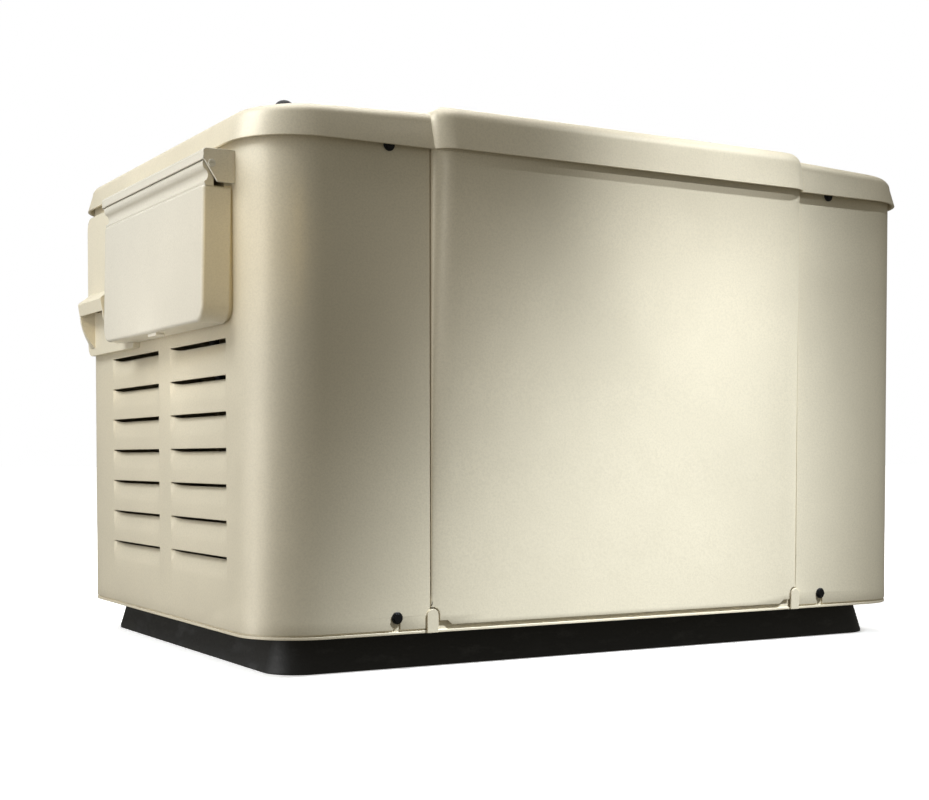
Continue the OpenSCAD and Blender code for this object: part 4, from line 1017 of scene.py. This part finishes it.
def control_bezel():
    """The plate with its collar and its windowed back, and the cowl over its slots."""
    plate = prism("bezel", bezel_outline(), END_FACE, BEZEL_FACE)
    opening = rounded_rect(OPENING_LOW, OPENING_HIGH, (OPENING_R,) * 4, 6)
    cut(plate, opening, END_FACE + THROUGH, BEZEL_FACE - THROUGH)
    rim = rounded_rect(*grow(OPENING_LOW, OPENING_HIGH, COLLAR), (COLLAR_R,) * 4, 6)
    collar = prism("collar", rim, BEZEL_FACE + 1, BEZEL_FACE + 1 + COLLAR_IN)
    cut(collar, opening, END_FACE + 30, BEZEL_FACE - THROUGH)
    combine(plate, collar, "UNION")
    rim = rounded_rect(*grow(OPENING_LOW, OPENING_HIGH, 1), (OPENING_R,) * 4, 6)
    back = prism("back", rim, BACK_FAR, BACK_NEAR)
    for low, high in WINDOWS:
        window = rounded_rect(low, high, (WINDOW_R,) * 4, 4)
        cut(back, window, BACK_NEAR + THROUGH, BACK_FAR - 8)
    combine(plate, back, "UNION")
    split_faces(plate)
    round_edges(plate, 0.4, 35, 3)
    settle(plate, 30)
    for z in COWL_SLOTS:
        low, high = (COWL_SLOT_Y[0], z), (COWL_SLOT_Y[1], z + COWL_SLOT_H)
        slot = rounded_rect(low, high, (COWL_SLOT_R,) * 4, 5)
        cut(plate, slot, END_FACE + THROUGH, BEZEL_FACE - THROUGH)
    steady_normals(plate, True)
    adopt(plate, "control_bezel_body", "cabinet", "cream_plastic")
    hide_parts("control_bezel")
    shell = cowl()
    round_solid(shell, 0.4, 3)
    adopt(shell, "control_bezel_cowl", "cabinet", "cream_plastic")
    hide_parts("control_bezel")


# The cowl's section: (distance out from the bezel, height), from its brow down and back to the panel.
LIP_Z = 385
LIP_OUT = 17.2
COWL_BROW = [(0, 457), (6, 453.5), (14, 448), (20.5, 443.8), (22.5, 441), (21.2, 433)]
COWL_SWEEP = [(19.6, 424.5), (18.6, 417), (15.6, 407.5), (11.2, 398.5), (6.2, 391), (1.6, LIP_Z),
              (0.2, LIP_Z - 0.6)]
COWL_HOLLOW = [(0.6, 453.4), (6, 450), (14, 444.8), (18.5, 440.6), (18.8, 436), (LIP_OUT, 426)]
COWL_MOUTH = [(30, 424.5), (30, LIP_Z - 12)]
COWL_REACH = 22.5
COWL_WALL = 5


def cowl_row(out, z, taper, wall, back):
    """One level of the cowl, whose cheeks draw in as they leave the panel."""
    ease = (taper / COWL_REACH) ** 0.55
    near, far = 120 + 15 * ease + wall, 257 - 19 * ease - wall
    front, rear = BEZEL_FACE - out, BEZEL_FACE + back
    return [(front, near, z), (front, far, z), (rear, far, z), (rear, near, z)]


def cowl():
    """The hood over the small air inlet: a brow, a front lip, and cheeks that sweep back."""
    shell = solid("cowl", [cowl_row(out, z, out, 0, 2) for out, z in COWL_BROW + COWL_SWEEP])
    hollow = [cowl_row(out, z, out, COWL_WALL, THROUGH) for out, z in COWL_HOLLOW]
    hollow += [cowl_row(out, z, LIP_OUT, COWL_WALL, THROUGH) for out, z in COWL_MOUTH]
    combine(shell, solid("cut", hollow), "DIFFERENCE")
    return shell


HOOD_LOW, HOOD_HIGH = corner("door_hood", 0), corner("door_hood", 1)
HOOD_LIP_Z = 552
HOOD_SKIN = 2.4
HOOD_R, LIP_ROUND, HOOD_FILLET = 4, 1, 2.4
CHEEK = 3
CHEEK_FOOT_Z, CHEEK_BACK, CHEEK_R = 529, 18, 3
DOOR_Y = (-251, 106)
DOOR_Z = (381, 527)
DOOR_FACE = END_FACE - 33
DOOR_RIM, DOOR_DEEP_RIM = BEZEL_FACE - 0.5, END_FACE - 1.5
DOOR_SKIN = 2.2
DOOR_R, DOOR_TOP_R, DOOR_FILLET = 19, 5, 3.6
FINGER_LOW, FINGER_HIGH = (-90, 377), (-60, 384)
PIVOT_X, PIVOT_Z = END_FACE - 26.5, 548
BARREL_R = 7.5
HANG = math.radians(1.2)


def hood():
    """The rain hood over the door's barrel, with a cheek at each end."""
    x, top = HOOD_LOW.x, HOOD_HIGH.z
    outline = [(END_FACE, top - HOOD_SKIN), (END_FACE, top)]
    outline += arc((x + HOOD_R, top - HOOD_R), HOOD_R, 90, 180, 6)
    outline += arc((x + LIP_ROUND, HOOD_LIP_Z + LIP_ROUND), LIP_ROUND, 180, 360, 6)
    outline += arc((x + 4.4, top - HOOD_SKIN - HOOD_FILLET), HOOD_FILLET, 180, 90, 5)
    cover = extruded("hood", outline, HOOD_LOW.y, HOOD_HIGH.y)
    cheek = [(END_FACE, CHEEK_FOOT_Z), (END_FACE, top - 0.4)]
    cheek += arc((x + HOOD_R, top - HOOD_R - 0.4), HOOD_R, 90, 180, 6)
    cheek += [(x, HOOD_LIP_Z + 0.5), (x + 2, HOOD_LIP_Z - 1.5)]
    cheek += arc((END_FACE - CHEEK_BACK, CHEEK_FOOT_Z + CHEEK_R), CHEEK_R, 225, 270, 4)
    for low, high in ((HOOD_LOW.y, HOOD_LOW.y + CHEEK), (HOOD_HIGH.y - CHEEK, HOOD_HIGH.y)):
        combine(cover, extruded("cheek", cheek, low, high), "UNION")
    # The far cheek stops at the bezel's face.
    far = [(BEZEL_FACE - 0.1, 500), (BEZEL_FACE - 0.1, top - 3), (0, top - 3), (0, 500)]
    combine(cover, extruded("cut", far, HOOD_HIGH.y - 10, HOOD_HIGH.y + 1), "DIFFERENCE")
    round_solid(cover, 0.5, 2)
    adopt(cover, "door_hood_body", "cabinet", "door_paint")
    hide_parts("door_hood")


def door_matrix():
    """The hang of the unlatched door, about its barrel."""
    pivot = Vector((PIVOT_X, 0, PIVOT_Z)) * MM
    return Matrix.Translation(pivot) @ Matrix.Rotation(HANG, 4, "Y") @ Matrix.Translation(-pivot)


def tray_loop(x, inset):
    """The door's outline at one depth, moved inwards: round at its lower corners, square above."""
    low, high = grow((DOOR_Y[0], DOOR_Z[0]), (DOOR_Y[1], DOOR_Z[1]), -inset)
    lower, upper = max(1.5, DOOR_R - inset), max(1.2, DOOR_TOP_R - inset)
    return [(x, y, z) for y, z in rounded_rect(low, high, (lower, lower, upper, upper), 10)]


def tray_fillet(x, inset, radius, step):
    """Loops over the quarter round between the door's walls and its face."""
    angles = [math.radians(a) for a in range(0, 91, step)]
    return [tray_loop(x + radius * (1 - math.sin(a)), inset + radius * (1 - math.cos(a))) for a in angles]


def control_door():
    """The tray-shaped door: shallow where it lies over the bezel's step, with its barrel and tab."""
    outer = [tray_loop(DOOR_DEEP_RIM, 0)] + tray_fillet(DOOR_FACE, 0, DOOR_FILLET, 15)
    tray = solid("door", outer + [tray_loop(DOOR_FACE, DOOR_FILLET + 2)])
    inner = [tray_loop(DOOR_DEEP_RIM + 9, DOOR_SKIN)]
    inner += tray_fillet(DOOR_FACE + DOOR_SKIN, DOOR_SKIN, 2, 30)
    combine(tray, solid("cut", inner), "DIFFERENCE")
    # The walls are shallow beyond the step, and along the top.
    past = (DOOR_Y[1] + 5, DOOR_Z[1] + 5)
    far = rounded_rect((BEZEL_STEP[0] - 5, DOOR_Z[0] - 5), past, (6, 1, 1, 1), 4)
    cut(tray, far, DOOR_RIM, DOOR_RIM + 20)
    top = rounded_rect((DOOR_Y[0] + DOOR_SKIN, DOOR_Z[1] - 20), past, (1, 1, 1, 1), 2)
    cut(tray, top, DOOR_RIM, DOOR_RIM + 20)
    combine(tray, extruded("neck", neck_outline(), DOOR_Y[0], DOOR_Y[1]), "UNION")
    finger = rounded_rect(FINGER_LOW, FINGER_HIGH, (3, 3, 1, 1), 5)
    combine(tray, prism("tab", finger, DOOR_FACE + 4, DOOR_FACE + 15), "UNION")
    round_solid(tray, 0.5, 2)
    tray.data.transform(door_matrix())
    adopt(tray, "control_door_body", "door", "door_paint")
    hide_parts("control_door")


def neck_outline():
    """Barrel, hollow neck and bead, as one outline."""
    barrel = arc((PIVOT_X, PIVOT_Z), BARREL_R, -58, 238, 26)
    hollow = arc((PIVOT_X - 9.8, 536), 8.4, 40, -40, 8)
    bead = arc((PIVOT_X - 3, 529), 2.2, 120, 200, 4)
    return barrel + hollow + bead + [(PIVOT_X - 4, 525.6), (PIVOT_X + 5.5, 525.6), (PIVOT_X + 5.5, 534)]


# ---- the CAD nodes ----

# The width of each node's softened edges.
DEFAULT_EDGE = 0.5
EDGES = {
    "base_pad": 0.8, "crankcase": 1.5, "cylinder_head": 0.8, "rocker_cover": 1.8, "battery": 1.2,
    "air_filter_box": 0.8, "key_auto": 0.7, "door_pivot_screws": 0.2, "wrap_bolts": 0.3,
    "controller_housing": 0.15,
}
# Nodes with many holes or pockets in their faces, which must stay triangulated.
POCKETED = ("base_pad", "door_pivot_screws", "air_filter_box", "battery_tray", "wrap_bolts",
            "controller_housing", "battery", "alternator_end_bell", "dipstick", "crankcase", "starter_motor")


def soften(node):
    """Rounds a CAD node's sharp edges and smooths its curved faces, with modifiers only."""
    obj = NODES[node]
    smooth(obj.data)
    weld = obj.modifiers.new("weld", "WELD")
    weld.merge_threshold = 0.01 * MM
    if node not in POCKETED:
        flat = obj.modifiers.new("flat", "DECIMATE")
        flat.decimate_type = "DISSOLVE"
        flat.angle_limit = math.radians(0.6)
        flat.delimit = {"MATERIAL"}
    round_edges(obj, EDGES.get(node, DEFAULT_EDGE), 34)
    steady_normals(obj)


def dress_nodes():
    """Gives every CAD node its material and its soft edges."""
    for node, obj in NODES.items():
        obj.data.materials.clear()
        obj.data.materials.append(MATERIALS[SLOT_OF[node]])
        soften(node)


# ---- inside the cabinet ----

BOOT_SIDES = 28
BOOT_EDGE = 2.2


def tube(name, points, radius, slot):
    """A smooth flexible run through the points, in millimetres, fixed to the cabinet."""
    data = bpy.data.curves.new(name, "CURVE")
    data.dimensions = "3D"
    data.bevel_depth = radius * MM
    data.bevel_resolution = 4
    data.resolution_u = 10
    data.use_fill_caps = True
    run = data.splines.new("BEZIER")
    run.bezier_points.add(len(points) - 1)
    for knot, place in zip(run.bezier_points, points):
        knot.co = Vector(place) * MM
        knot.handle_left_type = "AUTO"
        knot.handle_right_type = "AUTO"
    line = add_object(name, data)
    mesh = evaluated_mesh(line)
    bpy.data.objects.remove(line)
    obj = add_object(name, mesh)
    smooth(mesh)
    adopt(obj, name, "cabinet", slot)


def boot(name, start, end, radius, slot):
    """A round rubber or plastic cap between two points, with soft rims."""
    axis = (Vector(end) - Vector(start)).normalized()
    across = axis.orthogonal().normalized()
    other = axis.cross(across)
    turns = [2 * math.pi * i / BOOT_SIDES for i in range(BOOT_SIDES)]
    circle = [radius * (math.cos(a) * across + math.sin(a) * other) for a in turns]
    loops = [[Vector(point) + spoke for spoke in circle] for point in (start, end)]
    cap = piece(name, *loft(loops, True), "cabinet", slot)
    round_edges(cap, BOOT_EDGE, 40, 3)
    settle(cap, 40)


POST_Z = corner("battery", 1).z
POST_Y, RED_X, BLACK_X = -160, -260, -400
BOOT_R, CABLE_R = 12, 4.6
RED_RUN = [(RED_X, POST_Y, POST_Z), (-246, -163, POST_Z + 12), (-215, -168, POST_Z + 14),
           (-120, -172, 250), (-40, -166, 258), (-10, -142, 272), (18, -126, 273)]
BLACK_RUN = [(BLACK_X, POST_Y, POST_Z), (-404, -140, POST_Z + 8), (-406, -116, 232),
             (-402, -108, 150), (-388, -106, 80), (-372, -104, 47)]
LEAD_RUN = [(40, -94, 425), (43, -108, 418), (62, -116, 392), (95, -104, 362),
            (124, -78, 344), (146, -50, 326)]
HARNESS_RUN = [(-434, -60, 458), (-414, -62, 440), (-388, -80, 398), (-330, -98, 354),
               (-220, -96, 332), (-110, -98, 318), (-88, -74, 304), (-84, -58, 292)]
POWER_RUN = [(-414, 63, 462), (-396, 64, 456), (-374, 72, 420), (-360, 84, 362),
             (-346, 80, 312), (-328, 76, 292)]


def wiring():
    """The battery's cables, the plug lead, the controller's harness and the power cable."""
    for name, x, slot in (("red_boot", RED_X, "key_red"), ("black_boot", BLACK_X, "rubber")):
        boot(name, (x, POST_Y, POST_Z - 12), (x, POST_Y, POST_Z + 5), BOOT_R, slot)
    tube("battery_cable_red", RED_RUN, CABLE_R, "key_red")
    tube("battery_cable_black", BLACK_RUN, CABLE_R, "rubber")
    boot("plug_boot", (40, -98, 425), (40, -66, 425), 8.6, "rubber")
    tube("plug_lead", LEAD_RUN, 3.6, "rubber")
    tube("control_harness", HARNESS_RUN, 6, "black_plastic")
    tube("power_cable", POWER_RUN, 6.5, "black_plastic")


def repaint(node, finish, chosen):
    """Gives another finish to the faces of a CAD node that are chosen by their middle, in millimetres."""
    mesh = NODES[node].data
    mesh.materials.append(MATERIALS[finish])
    index = len(mesh.materials) - 1
    for face in mesh.polygons:
        if chosen(face.center / MM):
            face.material_index = index


END_TURNS = 15.9
POST_FOOT_Z, POST_HALF = 224.5, 14.5
PLUG_SEAT, PLUG_TIP = 39.2, 64.5
NOSE_X, SOLENOID_X, SOLENOID_Z = 123.9, 112.2, 248.8
BOARD_X = -459.3
FUSE_LOW, FUSE_HIGH, FUSE_X = (54.2, 404.2), (71.8, 410.8), -465
AMBER_Z, RED_TOP = (470, 482), 468


def on_battery_post(p):
    from_post = min(abs(p.x - RED_X), abs(p.x - BLACK_X))
    return p.z > POST_FOOT_Z and abs(p.y - POST_Y) < POST_HALF and from_post < POST_HALF


def on_fuse(p):
    return inside(FUSE_LOW, FUSE_HIGH, p.y, p.z) and p.x < FUSE_X


def on_starter_casting(p):
    return p.x > NOSE_X or (p.x > SOLENOID_X and p.z > SOLENOID_Z)


def repaint_nodes():
    """Second materials: windings, battery posts, the plug's metal, chips, the fuse and the lamps."""
    low, high = corner("stator", 0).x + END_TURNS, corner("stator", 1).x - END_TURNS
    seat, tip = corner("spark_plug", 1).y - PLUG_SEAT, corner("spark_plug", 1).y - PLUG_TIP
    repaint("stator", "copper", lambda p: p.x < low or p.x > high)
    repaint("battery", "brass", on_battery_post)
    repaint("spark_plug", "machined_steel", lambda p: p.y > seat or p.y < tip)
    repaint("starter_motor", "cast_aluminium", on_starter_casting)
    repaint("circuit_board", "breaker_black", lambda p: p.x > BOARD_X)
    repaint("fuse_holder", "key_blue", on_fuse)
    repaint("status_lights", "amber_lens", lambda p: AMBER_Z[0] < p.z < AMBER_Z[1])
    repaint("status_lights", "red_lens", lambda p: p.z < RED_TOP)


# ---- assembly ----

bpy.context.scene.view_settings.view_transform = "Standard"
add_camera()
add_world()
add_floor()
add_lights()
add_materials()
dress_nodes()
repaint_nodes()
wiring()
end_wrap(-1, "left_wrap_skin", "left_end_wrap")
end_wrap(1, "right_wrap_skin", "right_end_wrap")
front_panel()
rear_panel()
roof()
control_bezel()
hood()
control_door()
